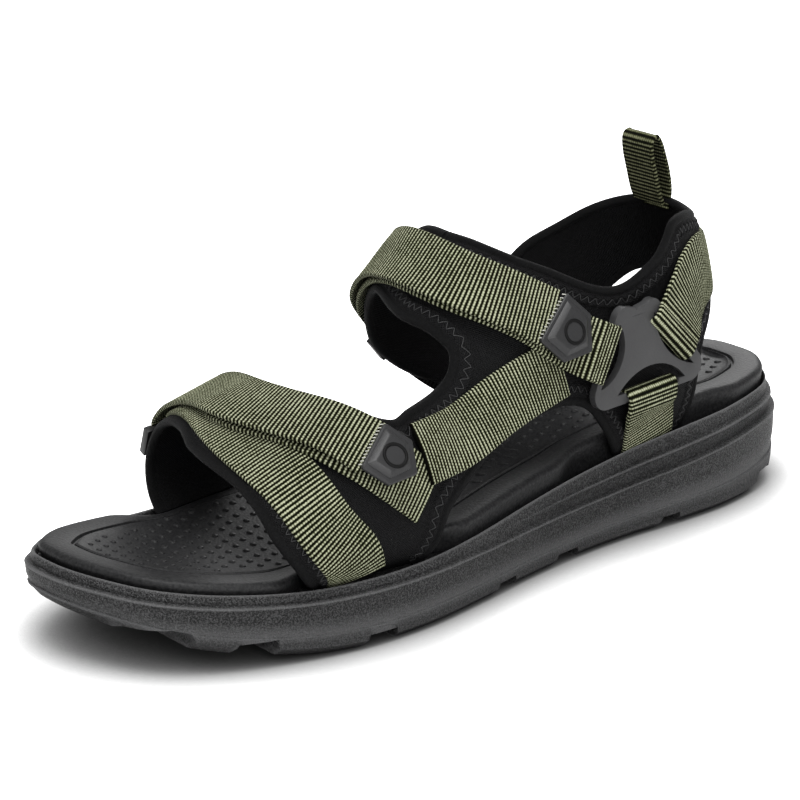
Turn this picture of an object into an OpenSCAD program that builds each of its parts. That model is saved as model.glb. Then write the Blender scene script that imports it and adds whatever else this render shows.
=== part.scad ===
// Strappy sport sandal, left foot.
// Toe at -Y, heel at +Y, outer side of the foot at +X, ground at z = 0.

/* [Sole] */
// length of the outsole from toe tip to heel tip
sole_len = 290; // [282:1:298]
// depth of the grooves between the tread lugs
lug_depth = 3.2; // [2:0.2:4]
// share of the side wall that belongs to the outsole
tread_share = 0.4; // [0.3:0.02:0.46]
// depth of the dish in the middle of the footbed
dish = 1.4; // [0.6:0.2:2]

/* [Upper] */
// thickness of the padded lining
lining_t = 2; // [1.6:0.1:2]
// width of the webbing
web_w = 20; // [18:0.5:21]
// width of the webbing at the heel and at the foot of the buckle
wide_w = 23; // [20:0.5:23.5]
// thickness of the webbing
web_t = 1.2; // [0.9:0.1:1.2]
// thickness of each half of the hook and loop fastener
tape_t = 0.7; // [0.5:0.1:0.7]
// width of the hook and loop fastener
tape_w = 16; // [12:0.5:17]

/* [Hardware] */
// thickness of the three-way buckle plate
buckle_t = 2.6; // [2.2:0.1:2.8]
// diameter of the buckle bars and ring bars
bar_d = 2.6; // [2.4:0.1:2.6]
// running clearance round a bar, on the radius
bar_gap = 0.06; // [0.04:0.01:0.08]
// thickness of the pull tabs
tab_t = 2.8; // [2.2:0.1:3]
// length of the pull tabs
tab_len = 18; // [16:0.5:20]
// width of the heel pull loop
loop_w = 16; // [14:0.5:18]

/* [Fineness] */
// points between two outline knots of the sole
sole_steps = 3; // [2:1:4]
// steps along a strap
strap_steps = 40; // [30:2:46]

/* [Hidden] */
gap = 0.15;
layer1 = lining_t + gap;
layer2 = layer1 + web_t + gap;
layer3 = layer2 + web_t + gap;
layer4 = layer3 + tape_t + gap;
layer5 = layer4 + tape_t + gap;
layer6 = layer5 + web_t + gap;
bar_r = bar_d / 2;
eye_r = bar_r + bar_gap;
ring_h = layer6 - 3.15;
big = 400;

// widest line of the sole, toe tip first, then the outer side, heel and inner side
outline = [
    [-16, -145], [-3, -144], [11, -139], [25, -130.5], [37, -115], [46, -92], [51, -67], [51, -42],
    [47, -18], [41.5, 7], [37.5, 32], [36, 57], [36.5, 82], [35, 106], [27.5, 130], [14, 142.5],
    [0, 145], [-14, 142.5], [-27, 131], [-34.5, 107], [-34.5, 82], [-34, 57], [-35, 32], [-38.5, 7],
    [-42, -17], [-46, -42], [-47.5, -67], [-45.5, -92], [-43, -112], [-38, -128], [-29.5, -139], [-23.5, -143.5]
];
// heights along the length: y, tread, widest line, lip of the midsole, rim of the footbed
levels = [
    [-145, 17.2, 26.4, 30.4, 33.9], [-120, 8.3, 22.5, 26.4, 29.4], [-90, 2.2, 19.4, 23, 26.1],
    [-64, 0, 18.6, 22.3, 26.8], [-30, 0, 18.3, 23, 28.4], [0, 0, 17.8, 25, 31.8],
    [40, 0, 18.4, 29, 36], [80, 0, 21.2, 33.5, 39.9], [115, 0, 24.8, 36, 41.6], [145, 5.3, 27.1, 37.4, 42.4]
];
// grooves of the tread: centre y, width, height of the groove roof at the toe and heel
grooves = [[-96, 8, 5], [-59, 8, 0], [-4.5, 7, 0], [26.5, 9, 0], [75, 7, 0], [127, 9, 2.5]];

// shape of the foot: station, top radius, bottom radius, half width, centre, taper, lean, squareness
foot = [
    [-140, 112, 122, 30, -10, 0, -2, 0.8], [-105, 100, 130, 40.9, -1.9, 0.09, -1, 0.8],
    [-75, 86, 134, 43.75, 1.25, 0.113, -0.75, 0.75], [-45, 76, 136, 43, 2.5, 0.144, -1.2, 0.7],
    [-20, 68, 140, 40.6, 3.4, 0.24, -2.25, 0.6], [-5, 56, 142, 39, 2, 0.28, -2, 0.5],
    [10, 44, 144, 37, 1, 0.26, -2, 0.45], [25, 42, 150, 34, 0, 0.1, -1, 0.3],
    [40, 42, 168, 33.5, 0, 0.02, 0, 0.3], [52, 44, 149, 32.5, 0, 0, 0, 0.05],
    [62, 46, 129, 30.5, 0, -0.05, 0, 0], [72, 48, 104, 29.5, 0, -0.08, 0, 0],
    [90, 50, 90, 29.5, 0, -0.08, 0, 0]
];
// line across the front of the ankle that the stations turn about
bend_y = -5;
bend_z = 150;
// how much rounder the inner side is than the outer side
pinch = 0.6;

// ---- curves ----
function hermite(a, b, ma, mb, t) =
    (2*t*t*t - 3*t*t + 1)*a + (t*t*t - 2*t*t + t)*ma + (3*t*t - 2*t*t*t)*b + (t*t*t - t*t)*mb;
function span(k, x, i = 0) = i >= len(k) - 2 || x < k[i + 1][0] ? i : span(k, x, i + 1);
function slope(k, c, i) =
    let (lo = max(i - 1, 0), hi = min(i + 1, len(k) - 1))
    (k[hi][c] - k[lo][c]) / (k[hi][0] - k[lo][0]);
function along(k, c, x0) =
    let (x = min(max(x0, k[0][0]), k[len(k) - 1][0]), i = span(k, x), h = k[i + 1][0] - k[i][0])
    hermite(k[i][c], k[i + 1][c], h*slope(k, c, i), h*slope(k, c, i + 1), (x - k[i][0])/h);
function path(k, u) =
    let (n = len(k) - 1, x = u*n, i = min(floor(x), n - 1), t = x - i,
         m0 = i > 0 ? (k[i + 1] - k[i - 1])/2 : k[1] - k[0],
         m1 = i < n - 1 ? (k[i + 2] - k[i])/2 : k[n] - k[n - 1])
    hermite(k[i], k[i + 1], m0, m1, t);

// ---- foot surface: station s, angle a (90 top, 0 outer side, 180 inner side, -90 heel) ----
function foot_at(s, a) =
    let (top = along(foot, 1, s), bottom = along(foot, 2, s), w = along(foot, 3, s),
         q = along(foot, 7, s)*(1 + pinch*min(cos(a), 0)), b = (bottom - top)/2,
         cx = pow(cos(a)/w, 2), cr = pow(sin(a)/b, 2),
         rho = q*sqrt(2/(cx + sqrt(cx*cx + 4*cr*cr))) + (1 - q)/sqrt(cx + cr),
         x = rho*cos(a), r = -rho*sin(a), turn = max(s, 0), rr = (bottom + top)/2 + r)
    [x*(1 + along(foot, 5, s)*r/b) + along(foot, 4, s) - along(foot, 6, s)*r/b,
     bend_y + min(s, 0) + rr*sin(turn),
     bend_z - rr*cos(turn)];
function unit(v) = v/norm(v);
function foot_ds(s, a) = foot_at(s + 0.5, a) - foot_at(s - 0.5, a);
function foot_da(s, a) = foot_at(s, a + 0.5) - foot_at(s, a - 0.5);
function foot_normal(s, a) = unit(cross(foot_ds(s, a), foot_da(s, a)));
function skin(p, h) = foot_at(p[0], p[1]) + (p[2] + h)*foot_normal(p[0], p[1]);

// step in station and angle for one millimetre across a line that runs along (ds, da)
function across(p, d) =
    let (es = foot_ds(p[0], p[1]), ea = foot_da(p[0], p[1]), e = es*es, f = es*ea, g = ea*ea,
         c1 = e*d[0] + f*d[1], c2 = f*d[0] + g*d[1], n = sqrt(e*c2*c2 - 2*f*c1*c2 + g*c1*c1))
    [c2/n, -c1/n, 0];

// closed sheet from a grid of [station, angle, height]
module sheet(grid, t) {
    n = len(grid) - 1;
    m = len(grid[0]) - 1;
    w = m + 1;
    k = (n + 1)*w;
    v1 = grid[1][0] - grid[0][0];
    v2 = grid[0][1] - grid[0][0];
    turned = v1[0]*v2[1] - v1[1]*v2[0] < 0;
    rim = concat(
        [for (i = [0:n]) i*w], [for (j = [1:m]) n*w + j],
        [for (i = [1:n]) (n - i)*w + m], [for (j = [1:m - 1]) m - j]
    );
    polyhedron(
        points = concat(
            [for (row = grid) for (p = row) skin(p, t)],
            [for (row = grid) for (p = row) skin(p, 0)]
        ),
        faces = [for (f = concat(
            [for (i = [0:n - 1]) for (j = [0:m - 1]) for (f = [
                [i*w + j, (i + 1)*w + j, (i + 1)*w + j + 1],
                [i*w + j, (i + 1)*w + j + 1, i*w + j + 1]]) f],
            [for (i = [0:n - 1]) for (j = [0:m - 1]) for (f = [
                [k + i*w + j, k + (i + 1)*w + j + 1, k + (i + 1)*w + j],
                [k + i*w + j, k + i*w + j + 1, k + (i + 1)*w + j + 1]]) f],
            [for (i = [0:len(rim) - 1]) let (a = rim[i], b = rim[(i + 1) % len(rim)]) for (f = [
                [b, a, k + a], [b, k + a, k + b]]) f]
        )) turned ? f : [f[2], f[1], f[0]]],
        convexity = 6
    );
}
// strap of constant width along knots of [station, angle, height]
module strap(knots, w, t, steps = strap_steps, cells = 4) {
    sheet([for (i = [0:steps])
        let (u = i/steps, p = path(knots, u), d = path(knots, min(u + 0.01, 1)) - path(knots, max(u - 0.01, 0)),
             q = across(p, d))
        [for (j = [0:cells]) p + q*w*(j/cells - 0.5)]
    ], t);
}
// panel ruled between two edges of [station, angle, height]
module panel(edge_a, edge_b, t, steps = 30, cells = 5) {
    sheet([for (i = [0:steps])
        let (a = path(edge_a, i/steps), b = path(edge_b, i/steps))
        [for (j = [0:cells]) a + (b - a)*j/cells]
    ], t);
}
function lift(edge, h) = [for (p = edge) [p[0], p[1], h]];

// ---- sole rings ----
scale_y = sole_len/290;
knot_count = len(outline);
function knot(i) = outline[(i + 2*knot_count) % knot_count];
function rim_at(x) =
    let (i = floor(x), t = x - i)
    hermite(knot(i), knot(i + 1), (knot(i + 1) - knot(i - 1))/2, (knot(i + 2) - knot(i))/2, t);
function inward(x) = let (d = rim_at(x + 0.05) - rim_at(x - 0.05)) [-d[1], d[0]]/norm(d);
ring_n = knot_count*sole_steps;
// a bump of one over the length a..b with soft ends
function bump(y, a, b) = max(0, min(1, (y - a)/5, (b - y)/5));
// extra inset of the footbed where straps run down beside it, outer side then inner side
function strap_room(x, y) = x > 0 ? max(8*bump(y, -106, -28), 4.8*bump(y, 26, 112))
    : max(10*bump(y, -106, -32), 4.8*bump(y, 12, 108));
function ring(inset, room, level, mix = 0, drop = 0, floor_z = -1) =
    [for (i = [0:ring_n - 1])
        let (x = i/sole_steps, p = rim_at(x), q = inward(x),
             r = p + q*(inset + room*strap_room(p[0], p[1])),
             z = along(levels, level, r[1])*(1 - mix) + along(levels, level == 1 ? 2 : 1, r[1])*mix + drop)
        [r[0], r[1]*scale_y, max(z, floor_z)]];
module loft(rings) {
    n = ring_n;
    m = len(rings);
    polyhedron(
        points = [for (r = rings) for (p = r) p],
        faces = concat(
            [for (j = [0:m - 2]) for (i = [0:n - 1]) let (a = j*n + i, b = j*n + (i + 1) % n) for (f = [
                [a, a + n, b + n], [a, b + n, b]]) f],
            ladder(0, false),
            ladder((m - 1)*n, true)
        ),
        convexity = 8
    );
}
// cap that joins each outer point to the inner point across from it
function ladder(k, up) =
    let (n = ring_n, tri = concat(
        [[0, 1, n - 1]],
        [for (i = [1:n/2 - 2]) for (f = [[i, i + 1, n - i], [i + 1, n - i - 1, n - i]]) f],
        [[n/2 - 1, n/2, n/2 + 1]]))
    [for (f = tri) up ? [k + f[2], k + f[1], k + f[0]] : [k + f[0], k + f[1], k + f[2]]];

// ---- strap lines: [station, angle, height] ----
vamp_web_line = [[-63.4, -21, layer1 + 0.2], [-66.4, -13, layer1 + 0.15], [-71.5, -5, layer1 + 0.15],
    [-77, 8, layer1 + 0.1], [-80.5, 26, layer1 + 0.1], [-80.5, 48, layer1 + 0.1], [-79, 72, layer1], [-76.5, 98, layer1],
    [-73, 122, layer1], [-69, 144, layer1], [-66, 157, layer1]];
vamp_base_line = [[-36, -2, layer1 + 0.15], [-45, 9, layer1 + 0.5], [-53, 18, layer1 + 1.6], [-61, 28, layer2 + 0.2],
    [-67, 46, layer2], [-70.5, 66, layer2], [-71.5, 88, layer2], [-71, 104, layer2]];
vamp_strap_line = [[-54.5, 20.5, layer5], [-62.5, 31, layer5], [-67.5, 48, layer5], [-70.5, 68, layer5],
    [-71.5, 88, layer5], [-71, 106, layer5], [-69, 124, layer5], [-67, 142, layer5 - 0.8], [-65.8, 157, layer5 - 0.7],
    [-64.9, 171.5, layer5 - 0.15]];
vamp_tape_line = [for (i = [2:10]) path(vamp_strap_line, i/18)];
side_web_line = [[-34, 13.5, layer2 + 0.4], [-26, 13.8, layer1 + 0.9], [-19, 13.6, layer1 + 0.05],
    [-9, 13.2, layer1 + 0.05], [1, 13, layer1 + 0.05], [10, 12.5, layer1 + 0.05], [18, 12, layer1 + 0.05]];
instep_web_line = [[26.4, 16.4, layer2 + 0.7], [24, 22, layer2 + 0.1], [21.2, 29.5, layer2], [17.5, 38, layer2], [11.5, 46.5, layer2],
    [5.5, 54, layer2], [0, 64, layer2], [-3, 78, layer2], [-3, 92, layer2], [-1, 108, layer2],
    [2.5, 124, layer2], [6, 138, layer2], [8.5, 148, layer2]];
instep_strap_line = [[20, 36.5, layer5], [12, 45.5, layer5], [6, 53.5, layer5], [0, 64, layer5],
    [-3, 78, layer5], [-3, 92, layer5], [-1, 108, layer5], [2.5, 124, layer5], [6, 138, layer5],
    [10.6, 151, layer5], [14.6, 165.5, layer5]];
instep_tape_line = [for (i = [2:10]) path(instep_strap_line, i/18)];
vamp_anchor_line = [[-64.4, -157, layer1 + 0.1], [-64.4, -165, layer1 + 0.1], [-64.4, -172, layer1 + 0.3],
    [-64.3, -177.9, layer1 + 0.6]];
instep_anchor_line = [[26, -141, layer1 + 0.15], [21.8, -156, layer1 + 0.15], [18.2, -172, layer1 + 0.15],
    [17, -179, layer1 + 0.15], [16.6, -182.7, layer1 + 0.2]];
anchor_web_line = [[31.4, -56, layer1 + 0.1], [31.9, -51, layer1 + 0.1], [32.3, -46, layer1 + 0.5], [32.7, -41.5, layer1 + 1.1],
    [33, -37.5, layer1 + 1.6]];

// frame on the foot surface: x along the strap, y across it, z outward
module on_foot(p, d, h) {
    z = foot_normal(p[0], p[1]);
    x = unit(foot_ds(p[0], p[1])*d[0] + foot_da(p[0], p[1])*d[1]);
    y = cross(z, x);
    o = foot_at(p[0], p[1]) + h*z;
    multmatrix([
        [x[0], y[0], z[0], o[0]],
        [x[1], y[1], z[1], o[1]],
        [x[2], y[2], z[2], o[2]],
        [0, 0, 0, 1]
    ]) children();
}
vamp_ring_pos = [-64.9, 171];
vamp_ring_run = [0.8, 10];
instep_ring_pos = [14.5, 165];
instep_ring_run = [1.2, 5];
ring_span = 8;

// rectangular ring: upper bar on the x = 0 line, lower bar ring_span along x
module ring_body() {
    color("#1b1b1c") {
        for (x = [0, ring_span])
            translate([x, 0, 0])
                rotate([90, 0, 0]) cylinder(r = bar_r, h = web_w + 7, center = true, $fn = 48);
        for (y = [-1, 1])
            translate([ring_span/2, y*(web_w/2 + 2.2), 0])
                cube([ring_span + bar_d, bar_d, bar_d], center = true);
    }
}
// sewn eye of webbing round a bar at the origin
module eye(w = web_w - 1) {
    rotate([90, 0, 0]) difference() {
        cylinder(r = eye_r + web_t, h = w, center = true, $fn = 64);
        cylinder(r = eye_r, h = w + 2, center = true, $fn = 64);
    }
}

// ---- sole ----
module outsole() {
    color("#242425") difference() {
        loft([
            ring(3.4, 0, 1, 0, 0, 0),
            ring(0.9, 0, 1, 0, 3.2, 3.2),
            ring(0.4, 0, 1, tread_share)
        ]);
        for (g = grooves)
            translate([-60, g[0] - g[1]/2, g[2] - 8]) cube([120, g[1], lug_depth + 8]);
    }
}
module midsole() {
    color("#29292b") loft([
        ring(0.4, 0, 1, tread_share, 0.02),
        ring(0, 0, 2),
        ring(1.6, 0, 3),
        ring(2.4, 0, 3, 0, -0.6),
        ring(2.6, 0, 2, 0, 1.2)
    ]);
}
module footbed() {
    color("#1f1f20") loft([
        ring(4.6, 1, 2, 0, 1.3),
        ring(4.2, 1, 4, 0, -1.8),
        ring(5.2, 1, 4, 0, -0.3),
        ring(6.8, 1, 4),
        ring(13, 1, 4, 0, -dish)
    ]);
}

// ---- padded linings ----
module vamp_lining() {
    color("#131314") panel(
        lift([[-76, -26], [-87, -6], [-92, 9], [-92, 32], [-91, 70], [-89, 101], [-84, 130], [-79, 160], [-78.5, 180],
         [-79.5, 204]], 0),
        lift([[-46, -28], [-45, -8], [-44, 8], [-43, 24], [-50, 46], [-59, 75], [-61, 103], [-58, 130], [-54, 157],
         [-52.5, 180], [-52, 206]], 0),
        lining_t, 48, 6
    );
}
module side_lining() {
    color("#131314") panel(
        lift([[-43.6, -28], [-34, -26], [-29, -12], [-18.5, -4.5], [-2.5, -0.5], [7, -2], [14, -4]], 0),
        lift([[-42.8, -8], [-42.2, 8], [-41.4, 24], [-36, 29], [-27, 32], [-17, 34.5], [-10, 39.5]], 0),
        lining_t, 30, 4
    );
}
module quarter_lining() {
    color("#131314") panel(
        lift([[25.5, -48], [24, -36], [22.5, -19], [16, -4.6]], 0),
        lift([[41, -53], [44, -48], [46.4, -36], [46.6, -4.6]], 0),
        lining_t, 12, 5
    );
}
module instep_lining() {
    color("#131314") panel(
        lift([[15.5, -3.6], [3.5, 18], [-8.5, 41], [-12, 58], [-13, 75], [-12, 90], [-9, 105], [-5, 120], [0, 140],
         [3, 155], [6, 170], [9, 181]], 0),
        lift([[46.6, -3.6], [46.2, 22], [40, 41], [33, 54], [25, 63], [18, 74], [14, 85], [15, 100], [18, 118],
         [26, 138], [36, 156], [46, 171]], 0),
        lining_t, 36, 5
    );
}
module heel_collar() {
    color("#131314") panel(
        lift([[47, 22], [56, 3], [60.5, -10], [62.8, -35], [64, -62], [66, -90], [65, -112], [61.8, -134],
         [56, -157], [47, -186]], 0),
        lift([[47.2, -4], [47, -20], [47, -36], [50.5, -55], [55.5, -68], [58, -90], [55.5, -112], [50.5, -125],
         [47, -144], [47, -176]], 0),
        lining_t, 36, 4
    );
}
module medial_lining() {
    color("#131314") panel(
        lift([[22, -138], [18, -151], [12, -167], [9.3, -178]], 0),
        lift([[40, -126], [44, -131], [46.3, -144], [46.4, -188]], 0),
        lining_t, 14, 5
    );
}

// ---- webbing ----
module vamp_webbing() {
    color("#5a6a3f") strap(vamp_web_line, web_w, web_t);
}
module vamp_base_webbing() {
    color("#5a6a3f") strap(vamp_base_line, web_w, web_t, 20);
}
module side_webbing() {
    color("#5a6a3f") strap(side_web_line, web_w, web_t, 20);
}
module instep_webbing() {
    color("#5a6a3f") {
        strap(instep_web_line, web_w, web_t);
        bar_flap([-18.4, 3], [-0.894, 0.447], [[11.6, -4.9], [3.4, 1.8], [-2, 1.8], [-2, 3], [2.9, 3], [10.9, -3.6]]);
    }
}
module heel_webbing() {
    color("#5a6a3f") {
        panel(
            [[49.5, 1.5, layer1 + 0.7], [53, -4, layer1 + 0.5], [57, -12, layer1 + 0.4], [60, -23, layer1 + 0.4],
             [61.6, -38, layer1 + 0.4], [62.4, -54, layer1 + 0.4], [62.8, -68, layer1 + 0.4]],
            [[47.8, -35, layer1 + 0.7], [50.5, -40, layer1 + 0.5], [52.6, -46, layer1 + 0.4], [54.6, -52, layer1 + 0.4],
             [56.4, -58, layer1 + 0.4], [57.6, -64, layer1 + 0.4], [58.6, -70, layer1 + 0.4]],
            web_t, 24, 6
        );
        bar_flap([13.6, 4.2], [0.72, 0.694], [[11.2, -3], [3.2, 1.8], [-2, 1.8], [-2, 3], [2.8, 3], [10.6, -1.7]], wide_w);
    }
}
module medial_webbing() {
    color("#5a6a3f") panel(
        lift([[28.5, -135], [34, -150], [41, -164], [48, -170], [53, -163], [57, -149], [60, -132]], layer1 + 0.3),
        lift([[37.5, -129], [41, -136], [46, -145], [50, -146], [53, -138], [55.5, -125], [57.5, -110]], layer1 + 0.3),
        web_t, 24, 4
    );
}
module anchor_webbing() {
    color("#5a6a3f") {
        strap(anchor_web_line, wide_w, web_t, 8);
        buckle_frame() translate([anchor_bar[0], anchor_bar[1], 0]) eye_u(wide_w);
        bar_flap([anchor_bar[0], anchor_bar[1]], [0, -1], [[9.2, -3.2], [1.8, -1.6], [2.2, -0.4], [9, -2]], wide_w);
    }
}

// ---- hook and loop straps ----
module vamp_strap() {
    color("#5a6a3f") {
        strap(vamp_strap_line, web_w, web_t);
        on_foot(vamp_ring_pos, vamp_ring_run, ring_h) eye();
    }
}
module instep_strap() {
    color("#5a6a3f") {
        strap(instep_strap_line, web_w, web_t);
        on_foot(instep_ring_pos, instep_ring_run, ring_h) eye();
    }
}
module vamp_hook_tape() {
    color("#0f0f10") strap([for (p = vamp_tape_line) [p[0], p[1], layer4]], tape_w, tape_t, 24);
}
module vamp_loop_tape() {
    color("#0f0f10") strap([for (p = vamp_tape_line) [p[0], p[1], layer3]], tape_w, tape_t, 24);
}
module instep_hook_tape() {
    color("#0f0f10") strap([for (p = instep_tape_line) [p[0], p[1], layer4]], tape_w, tape_t, 24);
}
module instep_loop_tape() {
    color("#0f0f10") strap([for (p = instep_tape_line) [p[0], p[1], layer3]], tape_w, tape_t, 24);
}
module tab_body() {
    w = web_w - 3;
    side = tab_len*0.55;
    rim = [[0, -w/2], [side, -w/2], [tab_len, 0], [side, w/2], [0, w/2]];
    inner = [[0, -w/2 + 2], [side - 1, -w/2 + 2], [tab_len - 3, 0], [side - 1, w/2 - 2], [0, w/2 - 2]];
    core = [[1.5, -w/2 + 3.4], [side - 1.8, -w/2 + 3.4], [tab_len - 5, 0], [side - 1.8, w/2 - 3.4], [1.5, w/2 - 3.4]];
    color("#2b2b2d") {
        difference() {
            linear_extrude(tab_t) polygon(rim);
            translate([0, 0, tab_t*0.55]) linear_extrude(tab_t) polygon(inner);
        }
        linear_extrude(tab_t) polygon(core);
    }
}
module vamp_tab() {
    on_foot([-55, 20.5], [8, -8], layer6 + 0.4) tab_body();
}
module instep_tab() {
    on_foot([20, 36.5], [8, -9], layer6 + 0.6) tab_body();
}

// ---- rings and their anchors ----
module vamp_ring() {
    on_foot(vamp_ring_pos, vamp_ring_run, ring_h) ring_body();
}
module instep_ring() {
    on_foot(instep_ring_pos, instep_ring_run, ring_h) ring_body();
}
module vamp_ring_anchor() {
    color("#131314") {
        strap(vamp_anchor_line, web_w - 1, web_t, 10);
        on_foot(vamp_ring_pos, vamp_ring_run, ring_h) translate([ring_span, 0, 0]) eye();
    }
}
module instep_ring_anchor() {
    color("#131314") {
        strap(instep_anchor_line, web_w - 1, web_t, 10);
        on_foot(instep_ring_pos, instep_ring_run, ring_h) translate([ring_span, 0, 0]) eye();
    }
}

// ---- three-way buckle, drawn flat: u rearward, v up ----
buckle_pos = [39.2, 57.5, 67];
buckle_yaw = 4.5;
lobes = [[-10.8, 13.6, 4.2], [2.6, 14.1, 3.9], [22.2, -9.7, 5.3], [-18.7, -9.8, 5.6]];
// top edge between the two upper lobes
crest = [[-10.7, 13.8], [-9.6, 17.5], [-6, 16.8], [-5, 15.7], [-3.8, 16.4], [0, 17], [2.6, 14.1]];
// slots between the bars and the body: two ends of the bar side and the depth
slots = [[[-21.6, -8], [-12.9, 12.5], 6.4], [[3.4, 13.2], [23.6, -9.2], 4.6], [[19.4, -12.8], [-13.6, -11.8], 7.4]];
anchor_bar = [3.4, -14.4];
anchor_bar_len = 27;
module buckle_frame() {
    translate(buckle_pos) rotate([0, 0, buckle_yaw]) rotate([90, 0, 90]) children();
}
module eye_u(w) {
    rotate([0, 90, 0]) difference() {
        cylinder(r = eye_r + web_t, h = w, center = true, $fn = 64);
        cylinder(r = eye_r, h = w + 2, center = true, $fn = 64);
    }
}
// ply drawn in the plane across a bar, [distance outward, height above the plate], and as wide as the webbing
module bar_flap(centre, out, ply, w = web_w) {
    buckle_frame() translate([centre[0], centre[1], 0])
        rotate([0, 0, atan2(out[1], out[0])]) rotate([90, 0, 0])
            linear_extrude(w, center = true) polygon(ply);
}
function side_normal(a, b) = [b[1] - a[1], a[0] - b[0]]/norm(b - a);
module buckle_slot(a, b, depth) {
    c = norm(b - a)/2;
    r = (c*c + depth*depth)/(2*depth);
    q = side_normal(a, b);
    o = (a + b)/2 - q*(r - depth);
    intersection() {
        translate(o) circle(r = r, $fn = 120);
        polygon([a, b, b + q*20, a + q*20]);
    }
}
module buckle_bar(a, b) {
    q = side_normal([a[0], a[1]], [b[0], b[1]]);
    polygon([
        [a[0], a[1]] - q*a[2], [b[0], b[1]] - q*b[2],
        [b[0], b[1]], [a[0], a[1]]
    ]);
}
module buckle_outline() {
    difference() {
        union() {
            polygon([for (l = lobes) [l[0], l[1]]]);
            polygon(crest);
            for (l = lobes) translate([l[0], l[1]]) circle(r = l[2], $fn = 48);
            buckle_bar(lobes[3], lobes[0]);
            buckle_bar(lobes[1], lobes[2]);
            buckle_bar(lobes[2], lobes[3]);
        }
        for (s = slots) buckle_slot(s[0], s[1], s[2]);
        translate([-9.4, -30]) square([25.6, 18.4]);
    }
}
module buckle() {
    color("#3a3a3c") buckle_frame() {
        translate([0, 0, -buckle_t/2]) linear_extrude(buckle_t) buckle_outline();
        translate([anchor_bar[0], anchor_bar[1], 0])
            rotate([0, 90, 0]) cylinder(r = bar_r, h = anchor_bar_len, center = true, $fn = 48);
    }
}

// ---- heel pull loop: two plies rising from the collar edge and joined over the top ----
loop_pos = [-3, 102, 102.2];
loop_line = [[0, 0], [2.4, 3], [1.6, 10], [-0.4, 17.5], [-2.2, 22], [-4, 23.6], [-5.8, 22.2], [-6, 17.5], [-4.6, 10], [-2.6, 3]];
module pull_loop() {
    n = 40;
    closed = concat(loop_line, [loop_line[0]]);
    outer = [for (i = [0:n - 1]) path(closed, i/n)];
    inner = [for (i = [0:n - 1]) let (d = path(closed, (i + 0.3)/n) - path(closed, max(i - 0.3, 0)/n))
        path(closed, i/n) + web_t*[-d[1], d[0]]/norm(d)];
    color("#5a6a3f") translate(loop_pos) rotate([90, 0, 90])
        linear_extrude(loop_w, center = true) difference() {
            polygon(outer);
            polygon([for (i = [2:n - 2]) inner[i]]);
        }
}

outsole();
midsole();
footbed();
vamp_lining();
side_lining();
quarter_lining();
instep_lining();
heel_collar();
medial_lining();
vamp_webbing();
vamp_base_webbing();
side_webbing();
instep_webbing();
heel_webbing();
medial_webbing();
anchor_webbing();
vamp_strap();
instep_strap();
vamp_hook_tape();
vamp_loop_tape();
instep_hook_tape();
instep_loop_tape();
vamp_tab();
instep_tab();
vamp_ring();
instep_ring();
vamp_ring_anchor();
instep_ring_anchor();
buckle();
pull_loop();
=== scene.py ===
"""Looks for the strappy sport sandal.

Lengths are in millimetres unless a comment says metres; meshes are turned into metres as they are made.
"""

import bpy
import numpy as np
from mathutils import Matrix, Vector
from mathutils.bvhtree import BVHTree
from mathutils.geometry import delaunay_2d_cdt


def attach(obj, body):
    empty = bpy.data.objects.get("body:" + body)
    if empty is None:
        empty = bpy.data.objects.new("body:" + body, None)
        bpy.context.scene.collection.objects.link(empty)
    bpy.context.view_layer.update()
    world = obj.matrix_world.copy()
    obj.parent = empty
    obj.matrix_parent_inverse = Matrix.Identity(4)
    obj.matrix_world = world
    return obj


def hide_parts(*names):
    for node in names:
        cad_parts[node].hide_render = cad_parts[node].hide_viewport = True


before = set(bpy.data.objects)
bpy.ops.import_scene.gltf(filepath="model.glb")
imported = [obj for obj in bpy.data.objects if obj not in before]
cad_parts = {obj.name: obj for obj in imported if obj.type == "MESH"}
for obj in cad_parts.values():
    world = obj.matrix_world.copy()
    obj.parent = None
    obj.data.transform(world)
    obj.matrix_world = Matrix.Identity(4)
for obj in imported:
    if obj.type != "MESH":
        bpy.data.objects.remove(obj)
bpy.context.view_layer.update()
MM = 0.001
TAU = 2 * np.pi

# ---------------- foot surface, as in the CAD source
# A point on the foot has a station, from the toe to 0 and on up the leg, and an angle round the foot.
# station, top, bottom, half width, sideways shift, taper, lean, squareness
FOOT = np.array([
    (-140, 112, 122, 30, -10, 0, -2, 0.8), (-105, 100, 130, 40.9, -1.9, 0.09, -1, 0.8),
    (-75, 86, 134, 43.75, 1.25, 0.113, -0.75, 0.75), (-45, 76, 136, 43, 2.5, 0.144, -1.2, 0.7),
    (-20, 68, 140, 40.6, 3.4, 0.24, -2.25, 0.6), (-5, 56, 142, 39, 2, 0.28, -2, 0.5),
    (10, 44, 144, 37, 1, 0.26, -2, 0.45), (25, 42, 150, 34, 0, 0.1, -1, 0.3),
    (40, 42, 168, 33.5, 0, 0.02, 0, 0.3), (52, 44, 149, 32.5, 0, 0, 0, 0.05),
    (62, 46, 129, 29, 0, -0.05, 0, 0), (72, 48, 104, 27, 0, -0.08, 0, 0),
    (90, 50, 90, 26.5, 0, -0.08, 0, 0)], float)
BEND_Y, BEND_Z = -5.0, 150.0
PINCH = 0.6


def hermite(a, b, ma, mb, t):
    return (2*t**3 - 3*t**2 + 1)*a + (t**3 - 2*t**2 + t)*ma + (3*t**2 - 2*t**3)*b + (t**3 - t**2)*mb


def along(k, c, x):
    X, V = k[:, 0], k[:, c]
    n = len(X)
    x = np.clip(x, X[0], X[-1])
    lo, hi = np.maximum(np.arange(n) - 1, 0), np.minimum(np.arange(n) + 1, n - 1)
    m = (V[hi] - V[lo]) / (X[hi] - X[lo])
    i = np.clip(np.searchsorted(X, x, side="right") - 1, 0, n - 2)
    h = X[i + 1] - X[i]
    return hermite(V[i], V[i + 1], h*m[i], h*m[i + 1], (x - X[i]) / h)


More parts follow.
